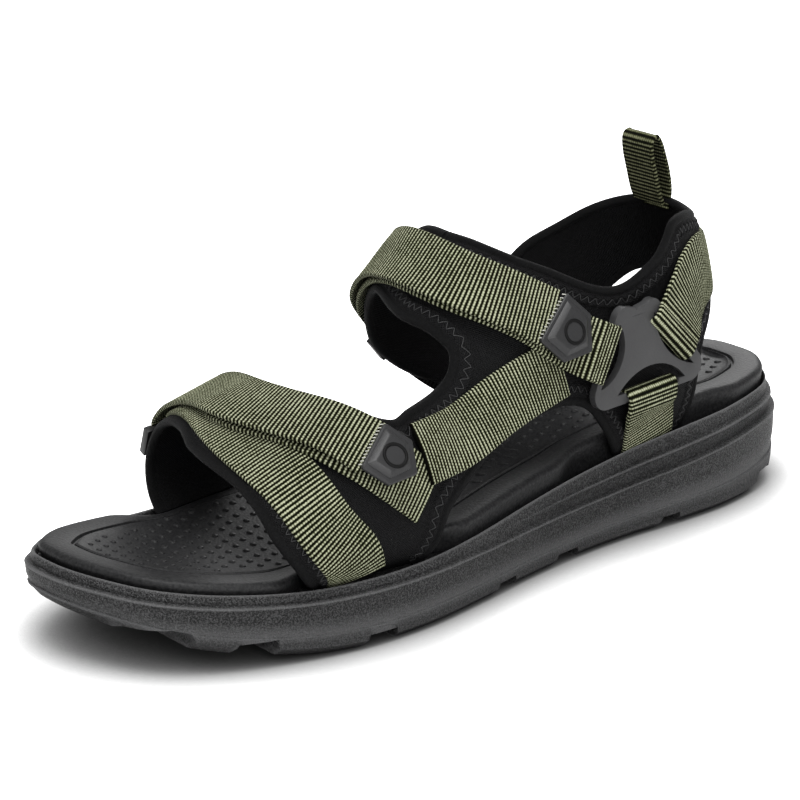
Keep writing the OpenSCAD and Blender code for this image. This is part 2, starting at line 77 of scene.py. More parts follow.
def foot_at(s, a):
    s, a = np.broadcast_arrays(np.asarray(s, float), np.asarray(a, float))
    top, bottom, w, q = along(FOOT, 1, s), along(FOOT, 2, s), along(FOOT, 3, s), along(FOOT, 7, s)
    b = (bottom - top) / 2
    c, sn = np.cos(np.radians(a)), np.sin(np.radians(a))
    q = q*(1 + PINCH*np.minimum(c, 0))
    cx, cr = (c / w)**2, (sn / b)**2
    rho = q*np.sqrt(2 / (cx + np.sqrt(cx*cx + 4*cr*cr))) + (1 - q) / np.sqrt(cx + cr)
    x, r = rho*c, -rho*sn
    turn = np.radians(np.maximum(s, 0))
    rr = (bottom + top) / 2 + r
    return np.stack([x*(1 + along(FOOT, 5, s)*r/b) + along(FOOT, 4, s) - along(FOOT, 6, s)*r/b,
                     BEND_Y + np.minimum(s, 0) + rr*np.sin(turn), BEND_Z - rr*np.cos(turn)], -1)


def unit(v):
    return v / (np.linalg.norm(v, axis=-1, keepdims=True) + 1e-12)


def foot_ds(s, a):
    return foot_at(s + 0.5, a) - foot_at(s - 0.5, a)


def foot_da(s, a):
    return foot_at(s, a + 0.5) - foot_at(s, a - 0.5)


def foot_normal(s, a):
    return unit(np.cross(foot_ds(s, a), foot_da(s, a)))


def skin(s, a, h):
    return foot_at(s, a) + np.asarray(h)[..., None]*foot_normal(s, a)


def across(s, a, ds, da):
    """Step in (s, a) for one millimetre across a line that runs along (ds, da)."""
    es, ea = foot_ds(s, a), foot_da(s, a)
    e, f, g = (es*es).sum(-1), (es*ea).sum(-1), (ea*ea).sum(-1)
    c1, c2 = e*ds + f*da, f*ds + g*da
    n = np.sqrt(e*c2*c2 - 2*f*c1*c2 + g*c1*c1)
    return c2/n, -c1/n


def smooth(knots, step, closed=False):
    """Points through knots, one every `step` mm; their columns are station, angle and sometimes height."""
    k = np.asarray(knots, float)
    if closed:
        k = np.vstack([k[-3:-1] - [[0, 360]], k, k[1:3] + [[0, 360]]])
    P = foot_at(k[:, 0], k[:, 1])
    t = lengths(P, 1e-6)
    table = np.column_stack([t, k])
    lo, hi = (t[2], t[-3]) if closed else (t[0], t[-1])
    tt = np.linspace(lo, hi, 24*len(k))
    out = columns(table, tt)
    return columns(table, spaced(tt, foot_at(out[:, 0], out[:, 1]), step))


def columns(table, at, first=1, last=None):
    return np.column_stack([along(table, c, at) for c in range(first, last or table.shape[1])])


def spaced(tt, points, step):
    """Parameters at even spacing along the points that have parameters tt."""
    L = lengths(points)
    n = max(2, int(round(L[-1] / step)))
    return np.interp(np.linspace(0, L[-1], n + 1), L, tt)


def lengths(points, least=0.0):
    """Distance along a row of points up to each of them, with a least step that keeps them apart."""
    return np.concatenate([[0], np.cumsum(np.linalg.norm(np.diff(points, axis=0), axis=1) + least)])


# ---------------- mesh helpers
def mesh_object(name, verts, faces, mat, body="shoe", slot="lining_fabric", replaces=(), uv=None, angle=80):
    me = bpy.data.meshes.new(name)
    me.from_pydata((np.asarray(verts) * MM).tolist(), [], [list(map(int, f)) for f in faces])
    me.update()
    if uv is not None:
        layer = me.uv_layers.new(name="UVMap")
        idx = np.empty(len(me.loops), int)
        me.loops.foreach_get("vertex_index", idx)
        layer.data.foreach_set("uv", np.asarray(uv, np.float32)[idx].ravel())
    shade_smooth(me, angle)
    me.materials.append(mat)
    ob = linked(name, me)
    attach(ob, body)
    if replaces:
        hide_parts(*replaces)
    return ob


def linked(name, data):
    ob = bpy.data.objects.new(name, data)
    bpy.context.scene.collection.objects.link(ob)
    return ob


def shade_smooth(me, angle):
    """Smooth shading, with edges sharper than the angle kept crisp."""
    me.polygons.foreach_set("use_smooth", [True] * len(me.polygons))
    me.set_sharp_from_angle(angle=np.radians(angle))


class Shells:
    """Collects closed shells into one mesh."""

    def __init__(self):
        self.v, self.f, self.n = [], [], 0

    def add(self, verts, faces):
        self.v.append(np.asarray(verts, float).reshape(-1, 3))
        self.f += [[i + self.n for i in f] for f in faces]
        self.n += len(self.v[-1])

    def make(self, name, *args, **kw):
        mesh_object(name, np.vstack(self.v), self.f, *args, uv=np.zeros((self.n, 2)), **kw)


def wall_faces(n, m, closed=False):
    """Quads between n rows of m points, each row a closed loop."""
    i, j = np.arange(n if closed else n - 1)[:, None], np.arange(m)[None, :]
    row, next_row, next_j = i*m, (i + 1) % n*m, (j + 1) % m
    return np.stack([row + j, next_row + j, next_row + next_j, row + next_j], -1).reshape(-1, 4).tolist()


def end_caps(n, m, half, partner):
    """Strips over the first and last of n rows of m, from the first points to their partners in the row."""
    F = []
    for row, flip in ((0, False), (n - 1, True)):
        o = row*m
        for k in range(half):
            q = [o + k, o + k + 1, o + partner(k + 1), o + partner(k)]
            q = [p for i, p in enumerate(q) if p not in q[:i]]
            if len(q) > 2:
                F.append(q[::-1] if flip else q)
    return F


def rod_faces(n, m):
    """Walls and both ends of a rod of n rows of m points."""
    return wall_faces(n, m) + end_caps(n, m, m // 2, lambda k: (m - k) % m)


def tube(points, radius, sides, up, closed=False, squash=1.0):
    P = np.asarray(points, float)
    d = unit(np.roll(P, -1, 0) - np.roll(P, 1, 0)) if closed else unit(np.gradient(P, axis=0))
    x = unit(np.cross(d, up))
    y = np.cross(d, x)
    t = np.arange(sides) / sides * TAU
    V = P[:, None] + radius*(np.cos(t)[None, :, None]*x[:, None] + squash*np.sin(t)[None, :, None]*y[:, None])
    F = wall_faces(len(P), sides, closed=True) if closed else rod_faces(len(P), sides)
    return V.reshape(-1, 3), oriented(V.reshape(-1, 3), F)


def oriented(verts, faces):
    """Faces turned so that the shell's volume is positive."""
    v = np.asarray(verts)
    vol = 0.0
    for f in faces:
        for k in range(1, len(f) - 1):
            vol += np.dot(v[f[0]], np.cross(v[f[k]], v[f[k + 1]]))
    return faces if vol > 0 else [f[::-1] for f in faces]


def facing(verts, faces, j, normal):
    """Faces turned so that face j looks along the normal."""
    a, b, c = (verts[i] for i in faces[j][:3])
    return faces if np.dot(np.cross(b - a, c - a), normal) > 0 else [f[::-1] for f in faces]


def sheet(upper, lower, normal):
    """Closed sheet of all the upper points and the inner lower ones, from rows (n, m, 3)."""
    n, m = upper.shape[:2]
    V = np.concatenate([upper, lower[:, 1:-1][:, ::-1]], axis=1)
    k = V.shape[1]
    F = wall_faces(n, k) + end_caps(n, k, m - 1, lambda j: j if j in (0, m - 1) else k - j)
    V = V.reshape(-1, 3)
    return V, facing(V, F, m // 2, normal)


def sheet_uv(L, x):
    uv = np.stack(np.broadcast_arrays(L[:, None], x), -1)
    return np.concatenate([uv, uv[:, 1:-1][:, ::-1]], axis=1).reshape(-1, 2)


# ---------------- materials
class Mat:
    """A material on the principled shader, with short ways to add nodes."""

    def __init__(self, name, color, rough, spec):
        self.m = bpy.data.materials.new(name)
        self.m.use_nodes = True
        self.n, self.l = self.m.node_tree.nodes, self.m.node_tree.links
        self.b = self.n["Principled BSDF"]
        self.b.inputs["Base Color"].default_value = (*color, 1)
        self.b.inputs["Roughness"].default_value = rough
        self.b.inputs["Specular IOR Level"].default_value = spec
        self.height = None

    def node(self, kind, **vals):
        n = self.n.new(kind)
        for k, v in vals.items():
            n.inputs[k].default_value = v
        return n

    def feed(self, socket, x):
        """Gives a socket a number, a colour or the output of another node."""
        if isinstance(x, bpy.types.NodeSocket):
            self.l.new(x, socket)
        else:
            socket.default_value = (*x, 1) if isinstance(x, tuple) else x

    def math(self, op, *values):
        n = self.n.new("ShaderNodeMath")
        n.operation = op
        for socket, x in zip(n.inputs, values):
            self.feed(socket, x)
        return n.outputs[0]

    def clamped(self, x):
        return self.math("MINIMUM", self.math("MAXIMUM", x, 0.0), 1.0)

    def noise(self, scale, detail=2, rough=0.5):
        n = self.node("ShaderNodeTexNoise", Scale=scale, Detail=detail, Roughness=rough)
        self.l.new(self.node("ShaderNodeTexCoord").outputs["Object"], n.inputs["Vector"])
        return n.outputs["Fac"]

    def uv(self):
        s = self.node("ShaderNodeSeparateXYZ")
        self.l.new(self.node("ShaderNodeTexCoord").outputs["UV"], s.inputs[0])
        return s.outputs[0], s.outputs[1]

    def mix(self, fac, a, b):
        n = self.n.new("ShaderNodeMix")
        n.data_type = "RGBA"
        for i, x in ((0, fac), (6, a), (7, b)):
            self.feed(n.inputs[i], x)
        return n.outputs[2]

    def color(self, out):
        self.feed(self.b.inputs["Base Color"], out)

    def bump(self, height, dist):
        n = self.node("ShaderNodeBump", Distance=dist * MM)
        self.l.new(height, n.inputs["Height"])
        if self.height is not None:
            self.l.new(self.height, n.inputs["Normal"])
        self.height = n.outputs[0]
        self.l.new(self.height, self.b.inputs["Normal"])
        return self


# distance between a webbing's ribs
RIB = 1.35
# how fast the painted edge highlight and crease shade grow as an edge gets sharper, and the sharpness at which
# they start
EDGE_GAIN, EDGE_DEAD = 14.0, 0.015


def make_webbing(name, stops):
    """Ribbed weave, painted darker in the gaps between the ribs as shade and paler along their crests as a
    highlight.
    """
    m = Mat(name, stops[1][1], 0.9, 0.06)
    u, v = m.uv()
    phase = m.math("MULTIPLY", u, np.pi / RIB)
    rib = m.math("ABSOLUTE", m.math("SINE", phase))
    thread = m.math("SINE", m.math("MULTIPLY", v, TAU / 0.95))
    weave = m.math("MULTIPLY", thread, m.math("MULTIPLY", m.math("SINE", phase), 0.5))
    grain = m.noise(1000, 2, 0.6)
    blotch = m.noise(70, 2, 0.5)
    soft = m.math("MULTIPLY_ADD", grain, 0.42, m.math("MULTIPLY_ADD", blotch, 0.2, -0.31))
    f = m.math("ADD", m.math("MULTIPLY_ADD", weave, 0.2, rib), soft)
    # the ramp runs from painted shade in the rib gaps to a painted highlight on the rib crests
    ramp = m.node("ShaderNodeValToRGB")
    el = ramp.color_ramp.elements
    for e, (pos, col) in zip(el, (stops[0], stops[-1])):
        e.position, e.color = pos, (*col, 1)
    for pos, col in stops[1:-1]:
        el.new(pos).color = (*col, 1)
    m.l.new(f, ramp.inputs[0])
    m.color(ramp.outputs[0])
    m.bump(weave, 0.12).bump(grain, 0.08)
    return m.m


def make_fabric(name, color, light, pitch=0.85):
    m = Mat(name, color, 0.65, 0.11)
    u, v = m.uv()
    a = m.math("SINE", m.math("MULTIPLY", u, TAU / pitch))
    b = m.math("SINE", m.math("MULTIPLY", v, TAU / pitch))
    mesh = m.math("MULTIPLY", a, b)
    grain = m.noise(1100, 2, 0.6)
    f = m.math("MULTIPLY_ADD", mesh, 0.3, grain)
    m.color(m.mix(f, color, light))
    m.bump(mesh, 0.16).bump(grain, 0.14)
    return m.m


def make_rubber(name, color, light, rough, scale, dist, spec=0.35, contrast=1.0, mean=0.5, painted_edge_light=None):
    """Fine speckle over soft blotches; a paler colour painted along sharp edges as a highlight, and the base
    colour painted into creases as shade.
    """
    m = Mat(name, color, rough, spec)
    fine = m.noise(scale, 2, 0.6)
    soft = m.noise(40, 3, 0.5)
    grain = m.math("MULTIPLY_ADD", m.math("SUBTRACT", fine, 0.5), contrast, mean)
    shade = m.mix(m.clamped(m.math("MULTIPLY_ADD", soft, 0.4, m.math("SUBTRACT", grain, 0.2))), color, light)
    # with an edge colour given, sharp edges are painted paler as a highlight and creases are painted with the
    # base colour as shade
    if painted_edge_light:
        sharp = m.node("ShaderNodeNewGeometry").outputs["Pointiness"]
        edge = m.math("MULTIPLY", m.math("SUBTRACT", sharp, 0.5 + EDGE_DEAD), EDGE_GAIN)
        painted_crease_shade = m.math("MULTIPLY", m.math("SUBTRACT", 0.5 - EDGE_DEAD, sharp), EDGE_GAIN)
        shade = m.mix(m.clamped(painted_crease_shade), m.mix(m.clamped(edge), shade, painted_edge_light), color)
    m.color(shade)
    m.bump(fine, dist)
    return m.m


def grey(v, blue=0.0):
    return v, v, v + blue


# first stop: painted shade between the ribs; last stop: a painted highlight on their crests
RIB_GAP_SHADE = (0.0008, 0.001, 0.0002)
webbing = make_webbing("webbing", [(0.34, RIB_GAP_SHADE), (0.6, (0.012, 0.014, 0.0045)),
                                   (0.8, (0.054, 0.058, 0.026)), (1.0, (0.36, 0.375, 0.26))])
# a darker copy of the webbing for the heel pull loop: painted shade
shaded_loop_webbing = make_webbing("shaded_loop_webbing", [(0.34, RIB_GAP_SHADE), (0.6, (0.008, 0.009, 0.003)),
                                             (0.8, (0.03, 0.032, 0.014)), (1.0, (0.15, 0.155, 0.09))])
black_web = make_webbing("black_webbing", [(0.2, grey(0.003)), (0.6, grey(0.012)), (1.0, grey(0.03))])
lining = make_fabric("lining_fabric", grey(0.0004, 0.0001), grey(0.0070, 0.0005))
binding = make_fabric("lining_binding", grey(0.0015, 0.0001), grey(0.007, 0.0005), 0.5)
hook = make_fabric("hook_tape", grey(0.004), grey(0.014), 0.7)
eva = make_rubber("footbed_foam", grey(0.004, 0.0005), grey(0.019, 0.0005), 0.5, 1100, 0.14, 0.2, 2.5)
SOLE = {"color": grey(0.005, 0.0002), "light": grey(0.066, 0.001), "scale": 1800, "spec": 0.25,
        "contrast": 4.5, "mean": 0.33}
# the sole's rubbers get a painted highlight along sharp edges and painted shade in creases
mid_rubber = make_rubber("midsole_foam", rough=0.45, dist=0.9, painted_edge_light=grey(0.13, 0.002), **SOLE)
out_rubber = make_rubber("outsole_rubber", rough=0.5, dist=0.8, painted_edge_light=grey(0.10, 0.002), **SOLE)
plastic = make_rubber("buckle_plastic", grey(0.026, 0.001), grey(0.036, 0.001), 0.5, 1500, 0.02)
tab_rubber = make_rubber("tab_rubber", grey(0.011, 0.0005), grey(0.019, 0.001), 0.45, 1500, 0.03, 0.4)
thread_black = Mat("thread_black", grey(0.016, 0.0005), 0.5, 0.35).m
thread_pale = Mat("thread_pale", (0.42, 0.42, 0.38), 0.6, 0.4).m
# near black colour of the ring on the pull tabs: painted shade
tab_ring_shade = Mat("tab_ring_shade", grey(0.002), 0.6, 0.15).m
ring_plastic = Mat("ring_plastic", grey(0.006), 0.4, 0.35).m

# ---------------- webbing ribbons
# Thicknesses, the gap between plies, and the height of each ply's underside above the foot
LINING_T, GAP, WEB_T, TAPE_T = 2.0, 0.15, 1.2, 0.7
L1 = LINING_T + GAP
L2 = L1 + WEB_T + GAP
L3 = L2 + WEB_T + GAP
L4 = L3 + TAPE_T + GAP
L5 = L4 + TAPE_T + GAP
L6 = L5 + WEB_T + GAP
WEB_W = 20.0
STEP = RIB / 5

SELVEDGE = np.array([0, 0.1, 0.35, 0.7, 1.1, 1.45, 1.9])


def section(w, t, cells=11):
    """Offsets across a ribbon, from one edge to the other, and the height of its top at each."""
    x = np.concatenate([SELVEDGE, np.linspace(2.6, w - 2.6, cells), w - SELVEDGE[::-1]]) - w/2
    d = w/2 - np.abs(x)
    top = t*np.clip(0.5 + 0.5*np.sqrt(np.clip(d / 0.45, 0, 1)), 0.5, 1)
    return x, top


def ribbon(name, rows, x, top, mat=None, body="shoe", replaces=None, slot="webbing", ribs=0.34, edge=True):
    """Closed ribbon over rows of base points and normals (n, m, 3), with its ribs and knotted edges."""
    base, normal = rows
    n, m = base.shape[:2]
    L = lengths(base[:, m // 2])
    d = x.max() - np.abs(x)
    rib = np.abs(np.sin(np.pi*L / RIB))[:, None]**0.55
    inner = np.clip((d - 1.15) / 0.3, 0, 1)[None, :]
    z = np.broadcast_to(top, (n, m)).copy()
    z += ribs*(rib - 0.6)*inner
    z += 0.03*np.sin(TAU*x / 0.9)[None, :]*np.sin(np.pi*L / RIB)[:, None]*inner
    if edge:
        knot = np.abs(np.sin(np.pi*(L / RIB + 0.5)))[:, None]
        band = (np.clip(1 - np.abs(d - 0.62) / 0.5, 0, 1)[None, :])
        z += (0.10 + 0.24*knot)*band
    wave = 0.06*np.sin(L / 9.0 + x.max())[:, None] + 0.05*np.sin(L / 3.7)[:, None]*np.cos(x / 4.0)[None, :]
    z += wave*np.clip(d / 2, 0, 1)[None, :]
    V, F = sheet(base + normal*z[..., None], base, normal[0, m // 2])
    stands_for = (name,) if replaces is None else replaces
    return mesh_object(name, V, F, mat or webbing, body, slot, stands_for, sheet_uv(L, x[None, :]), angle=60)


def eased(A, width):
    """Rows smoothed along the first axis over a length, keeping both ends in place."""
    A = np.asarray(A, float)
    sigma = width / STEP
    r = min(int(3*sigma), len(A) - 1)
    k = np.exp(-0.5*(np.arange(-r, r + 1) / sigma)**2)
    k /= k.sum()
    pad = np.concatenate([2*A[:1] - A[1:r + 1][::-1], A, 2*A[-1:] - A[-r - 1:-1][::-1]])
    return sum(k[i]*pad[i:i + len(A)] for i in range(2*r + 1))


def foot_rows(knots, x):
    """Rows of constant width across a strap that lies on the foot, and their normals."""
    s, a, h = smooth(knots, STEP).T
    d = np.gradient(np.column_stack([s, a]), axis=0)
    qs, qa = across(s, a, d[:, 0], d[:, 1])
    C = eased(skin(s, a, h), 4.0)
    N0 = unit(eased(foot_normal(s, a), 5.0))
    D = unit(eased(np.gradient(C, axis=0), 3.0))
    S = unit(np.cross(N0, D))
    if np.mean(np.sum(S*(foot_at(s + qs, a + qa) - foot_at(s, a)), -1)) < 0:
        S = -S
    N = np.cross(D, S)
    N *= np.sign(np.mean(np.sum(N*N0, -1)))
    reach = np.linspace(x.min() - 3, x.max() + 3, 17)
    R = skin(s[:, None] + qs[:, None]*reach, a[:, None] + qa[:, None]*reach,
             np.broadcast_to(h[:, None], (len(s), 17))) - C[:, None]
    xl, zl = np.einsum("nmk,nk->nm", R, S), np.einsum("nmk,nk->nm", R, N)
    sag = eased(np.array([np.interp(x, u, v) for u, v in zip(xl, zl)]), 4.0)
    fall = np.gradient(sag, x, axis=1)
    base = C[:, None] + S[:, None]*x[None, :, None] + N[:, None]*sag[..., None]
    return base, unit(N[:, None] - S[:, None]*fall[..., None])


def rows3d(C, S, N, x):
    """Straight rows along a smooth curve through points C, which have side and normal directions S and N."""
    C, S, N = (np.asarray(v, float) for v in (C, S, N))
    t = lengths(C)
    T = np.column_stack([t, C, S, N])
    tt = np.linspace(0, t[-1], 40*len(C))
    tt = spaced(tt, columns(T, tt, 1, 4), STEP)
    P, Sd, Nn = columns(T, tt, 1, 4), unit(columns(T, tt, 4, 7)), columns(T, tt, 7, 10)
    D = unit(np.gradient(P, axis=0))
    Nn = unit(np.cross(D, Sd)*np.sign(np.sum(np.cross(D, Sd)*Nn, -1))[:, None])
    base = P[:, None] + Sd[:, None]*x[None, :, None]
    return base, np.broadcast_to(Nn[:, None], base.shape).copy()


def joined(parts, ease):
    """Rows of several parts end to end, with the seams eased over a few rows."""
    B = np.concatenate([p[0][(1 if i else 0):] for i, p in enumerate(parts)])
    N = np.concatenate([p[1][(1 if i else 0):] for i, p in enumerate(parts)])
    k = np.hanning(2*ease + 3)[1:-1]
    k /= k.sum()
    seams = np.cumsum([len(p[0]) - (1 if i else 0) for i, p in enumerate(parts)])[:-1]
    w = np.zeros(len(B))
    for s in seams:
        w = np.maximum(w, np.exp(-((np.arange(len(B)) - s) / (1.2*ease))**2))
    for A in (B, N):
        before = A[:1] + np.arange(-ease, 0)[:, None, None]*(A[1] - A[0])
        after = A[-1:] + np.arange(1, ease + 1)[:, None, None]*(A[-1] - A[-2])
        pad = np.concatenate([before, A, after])
        sm = sum(k[i]*pad[i:i + len(A)] for i in range(2*ease + 1))
        A += w[:, None, None]*(sm - A)
    return B, unit(N)


X, TOP = section(WEB_W, WEB_T)

def level_knots(height, *knots):
    return [(s, a, height) for s, a in knots]


# lines of (station, angle, height) near those of the CAD source
VAMP_WEB = level_knots(L1, (-62.6, -25), (-66.4, -13), (-71.5, -5), (-77, 8), (-80.5, 26), (-80.5, 48),
    (-79, 72), (-76.5, 98), (-73, 122), (-69, 144), (-66, 157))
VAMP_BASE = [(-36, -2, L1), (-45, 9, L1), (-53, 18, L1 + 1.0), (-61, 28, L2), (-67, 46, L2), (-70.5, 66, L2),
             (-71.5, 88, L2), (-71, 104, L2)]
VAMP_STRAP = [(-54.4, 20.8, L5), (-61.2, 32, L5), (-67.5, 48, L5), (-70.5, 68, L5), (-71.5, 88, L5),
              (-71, 106, L5 - 0.4), (-69, 124, L5 - 1.6), (-67, 142, L5 - 2.1), (-65.8, 157, L5 - 1.6),
              (-65.1, 168.0, L5 - 0.5)]
SIDE_WEB = [(-36.6, 13.6, L2 + 0.5), (-27, 13.9, L1 + 1.0), (-19, 13.6, L1), (-9, 13.2, L1), (1, 13, L1),
            (10, 12.5, L1), (19, 12, L1)]
INSTEP_WEB = level_knots(L2, (8.5, 148), (6, 138), (4, 124), (1.6, 108), (0.2, 92), (0.4, 78), (2.6, 64),
                         (6.8, 54), (12.4, 46), (18.6, 37.5)) + [(22, 27.5, 3.9), (24.6, 20.6, 5.2)]
INSTEP_STRAP = level_knots(L5, (20.5, 35.7), (14.4, 43.8), (8.2, 52.2), (3.2, 63.5), (0.8, 78), (0.6, 92),
    (2, 108), (4.4, 124), (6, 138), (10.6, 151), (13.6, 161.5))
ANCHOR_WEB = [(31.2, -58, L1), (31.8, -52, L1), (32.3, -46, L1 + 0.2), (32.8, -40, L1 + 0.8)]
HEEL_WEB = level_knots(L1, (61.4, -84), (60.6, -76), (59.4, -66), (58.2, -56), (57.1, -46), (55.8, -37))
HEEL_WEB += [(53.6, -28.5, L1 + 0.3), (51, -21.5, L1 + 1.2)]
MEDIAL_WEB = level_knots(L1, (61.4, -96), (60.6, -107), (58.8, -120), (56, -133), (52, -143), (47, -148),
    (41.5, -146), (36.5, -139.5), (32.5, -132))
VAMP_ANCHOR = [(-64.4, -157, L1), (-64.4, -165, L1), (-64.4, -172, L1 + 0.1)]
INSTEP_ANCHOR = [(26, -141, L1), (21.8, -156, L1), (18.2, -172, L1 + 0.1)]

# rings on the inner side: place and direction on the foot, height, span between bars, radius of the wrap
RINGS = {"vamp": ((-64.9, 171.0), (0.8, 10.0)), "instep": ((14.5, 165.0), (1.2, 5.0))}
RING_H = L6 - 3.15
RING_SPAN = 8.0
EYE_R = 1.36


def foot_frame(p, d, h):
    s, a = np.float64(p[0]), np.float64(p[1])
    z = foot_normal(s, a)
    x = unit(foot_ds(s, a)*d[0] + foot_da(s, a)*d[1])
    return skin(s, a, h), x, np.cross(z, x), z


def eye_rows(ring, start, stop, centre_x, from_rows, x):
    """Rows that wrap round a ring bar, from angle start to stop (0 on top), with the sides of from_rows."""
    o, ex, ey, ez = foot_frame(*RINGS[ring], RING_H)
    t = np.radians(np.linspace(start, stop, 24))
    N = np.sin(t)[:, None]*ex + np.cos(t)[:, None]*ez
    last = from_rows[0][-1]
    side = ey if np.dot(last[-1] - last[0], ey) > 0 else -ey
    return rows3d(o + centre_x*ex + EYE_R*N, [side]*len(t), N, x)


# ---------------- linings
# corners that neighbouring linings share, as (station, angle)
FRONT_OUTER, FRONT_INNER, WINDOW_FRONT = (-70, -34), (-79.5, 204), (-37, -34)
OPEN_INNER, OPEN_FRONT, OPEN_SIDE, OPEN_REAR = (-40, 206), (-41.5, 28.9), (-10.2, 39.6), (6, 170)
WINDOW_TOP, WINDOW_REAR, QUARTER_BASE = (15.5, -5.5), (26, -54), (36, -62)
QUARTER_TOP, COLLAR_OUTER, HEEL_OUTER = (46.7, -4.5), (47.4, 22.4), (46.7, -48.7)
COLLAR_INNER, HEEL_INNER, HEEL_END, MEDIAL_BASE = (46.4, 172.8), (46.4, 230), (37, 239), (17, 204)

FRONT = [FRONT_OUTER, (-76, -27), (-87, -6), (-92, 9), (-92, 32), (-91, 70), (-89, 101), (-84, 130),
         (-79, 160), (-78.5, 180), FRONT_INNER]
OPEN = [OPEN_INNER, (-44, 180), (-50, 157), (-57, 130), (-61, 103), (-59, 75), (-52, 48), (-46, 33.5),
        (-40, 28.5), (-33, 30.5), (-20, 33.5), (-12.5, 36.5), (-9, 43), (-10, 52), (-13, 75), (-12, 90),
        (-9, 105), (-5, 120), (0, 140), (3, 155), OPEN_REAR, (12, 190), MEDIAL_BASE]
WINDOW = [WINDOW_FRONT, (-33, -24), (-28.5, -12), (-18.5, -4), (-9, -1.5), (1, -0.7), (9, -2), WINDOW_TOP,
          (20.5, -12.5), (23, -21), (24.5, -34), (25.5, -46), WINDOW_REAR]
ANKLE = [(14, 85), (15, 100), (18, 118), (26, 138), (36, 156), (47, 174), (56, 203), (61.8, 226), (65, 248),
         (66, 270), (65, 298), (64.2, 325), (61.8, 346), (57.6, 358), (52.4, 370), (47.4, 382.4),
         (39.2, 400.6), (32.6, 414), (25, 423), (18, 434), (14, 445)]
HEEL = [(36, 298), (41, 306), (44.5, 311), (47.5, 311.5), (50.5, 306), (55.5, 292), (58, 270), (55.5, 248),
        (50.5, 236), (46, 230), (42, 232), HEEL_END]
EDGE_STEP = 1.2
OUTLINES = {"front": FRONT, "open": OPEN, "window": WINDOW, "heel": HEEL, "ankle": ANKLE}
curves = {key: smooth(knots, EDGE_STEP, closed=key == "ankle") for key, knots in OUTLINES.items()}
# which side of each curve its lining is on
LINED_SIDE = {"front": 1, "open": 1, "window": -1, "heel": -1, "ankle": -1}
MIN_SPACING = 0.25


def cut(name, p, q, shift=0.0):
    """The stretch of a curve between the points nearest to p and q, turned by shift degrees."""
    c = curves[name]
    near = lambda t: int(np.argmin((c[:, 0] - t[0])**2 + (c[:, 1] - t[1])**2))
    i, j = near(p), near(q)
    part = c[i:j + 1] if i <= j else c[j:i + 1][::-1]
    return part + [0, shift]


def line(*pts):
    """Straight stretches in station and angle through the points."""
    out = []
    for a, b in zip(pts[:-1], pts[1:]):
        n = max(1, int(np.hypot(b[0] - a[0], b[1] - a[1]) / 1.6))
        out += [np.array(a) + (np.array(b) - np.array(a))*i/n for i in range(n)]
    return np.array(out + [np.array(pts[-1])], float)


def region(parts):
    """Outline through the parts, without points that fall on each other."""
    pts = np.vstack(parts)
    keep = [0]
    for i in range(1, len(pts)):
        if np.hypot(*(pts[i] - pts[keep[-1]])) > MIN_SPACING:
            keep.append(i)
    if np.hypot(*(pts[keep[-1]] - pts[0])) < MIN_SPACING:
        keep.pop()
    return pts[keep]


def inside(poly, p):
    x, y = p[:, 0], p[:, 1]
    r = np.zeros(len(p), bool)
    a, b = poly, np.roll(poly, -1, 0)
    for (x1, y1), (x2, y2) in zip(a, b):
        r ^= ((y1 > y) != (y2 > y)) & (x < (x2 - x1)*(y - y1)/(y2 - y1 + 1e-12) + x1)
    return r


def nearest(poly, p):
    d = np.full(len(p), 1e9)
    a, b = poly, np.roll(poly, -1, 0)
    for u, v in zip(a, b):
        w = v - u
        t = np.clip(((p - u) @ w) / (w @ w + 1e-12), 0, 1)
        d = np.minimum(d, np.linalg.norm(p - u - t[:, None]*w, axis=1))
    return d


def lining_sheet(name, *parts):
    """Solid sheet of the lining's thickness on the foot, inside an outline in station and angle."""
    poly = region(parts)
    lo, hi = poly.min(0), poly.max(0)
    g = np.stack(np.meshgrid(np.arange(lo[0], hi[0], 2.0), np.arange(lo[1], hi[1], 2.4)), -1).reshape(-1, 2)
    g = g[inside(poly, g)]
    g = g[nearest(poly, g) > 1.0]
    pts = np.vstack([poly, g])
    res = delaunay_2d_cdt([Vector(p) for p in pts], [], [list(range(len(poly)))], 1, 1e-5)
    P = np.array([tuple(v) for v in res[0]])
    tri = [list(f) for f in res[2]]
    area = sum(np.cross(P[f[1]] - P[f[0]], P[f[2]] - P[f[0]]) for f in tri[:50])
    if area < 0:
        tri = [f[::-1] for f in tri]
    edges = {(f[i], f[(i + 1) % 3]): 1 for f in tri for i in range(3)}
    rim = [(a, b) for a, b in edges if (b, a) not in edges]
    m = len(P)
    top = skin(P[:, 0], P[:, 1], np.full(m, LINING_T))
    bottom = skin(P[:, 0], P[:, 1], np.zeros(m))
    F = tri + [[i + m for i in f[::-1]] for f in tri] + [[b, a, a + m, b + m] for a, b in rim]
    uv = np.column_stack([P[:, 0]*1.25, P[:, 1]*0.85])
    mesh_object(name, np.vstack([top, bottom]), F, lining, replaces=(name,), uv=np.vstack([uv, uv]), angle=50)


# the band beside a free edge: pitch, half width and distance in of its zigzag, its two sides and its puff
PITCH, AMP, CENTRE = 2.9, 1.25, 4.7
BAND_IN, BAND_OUT = 2.3, 7.3
PUFF = 0.62


def zigzag(L):
    return CENTRE + AMP*(2*np.abs(2*((L / PITCH) % 1) - 1) - 1)


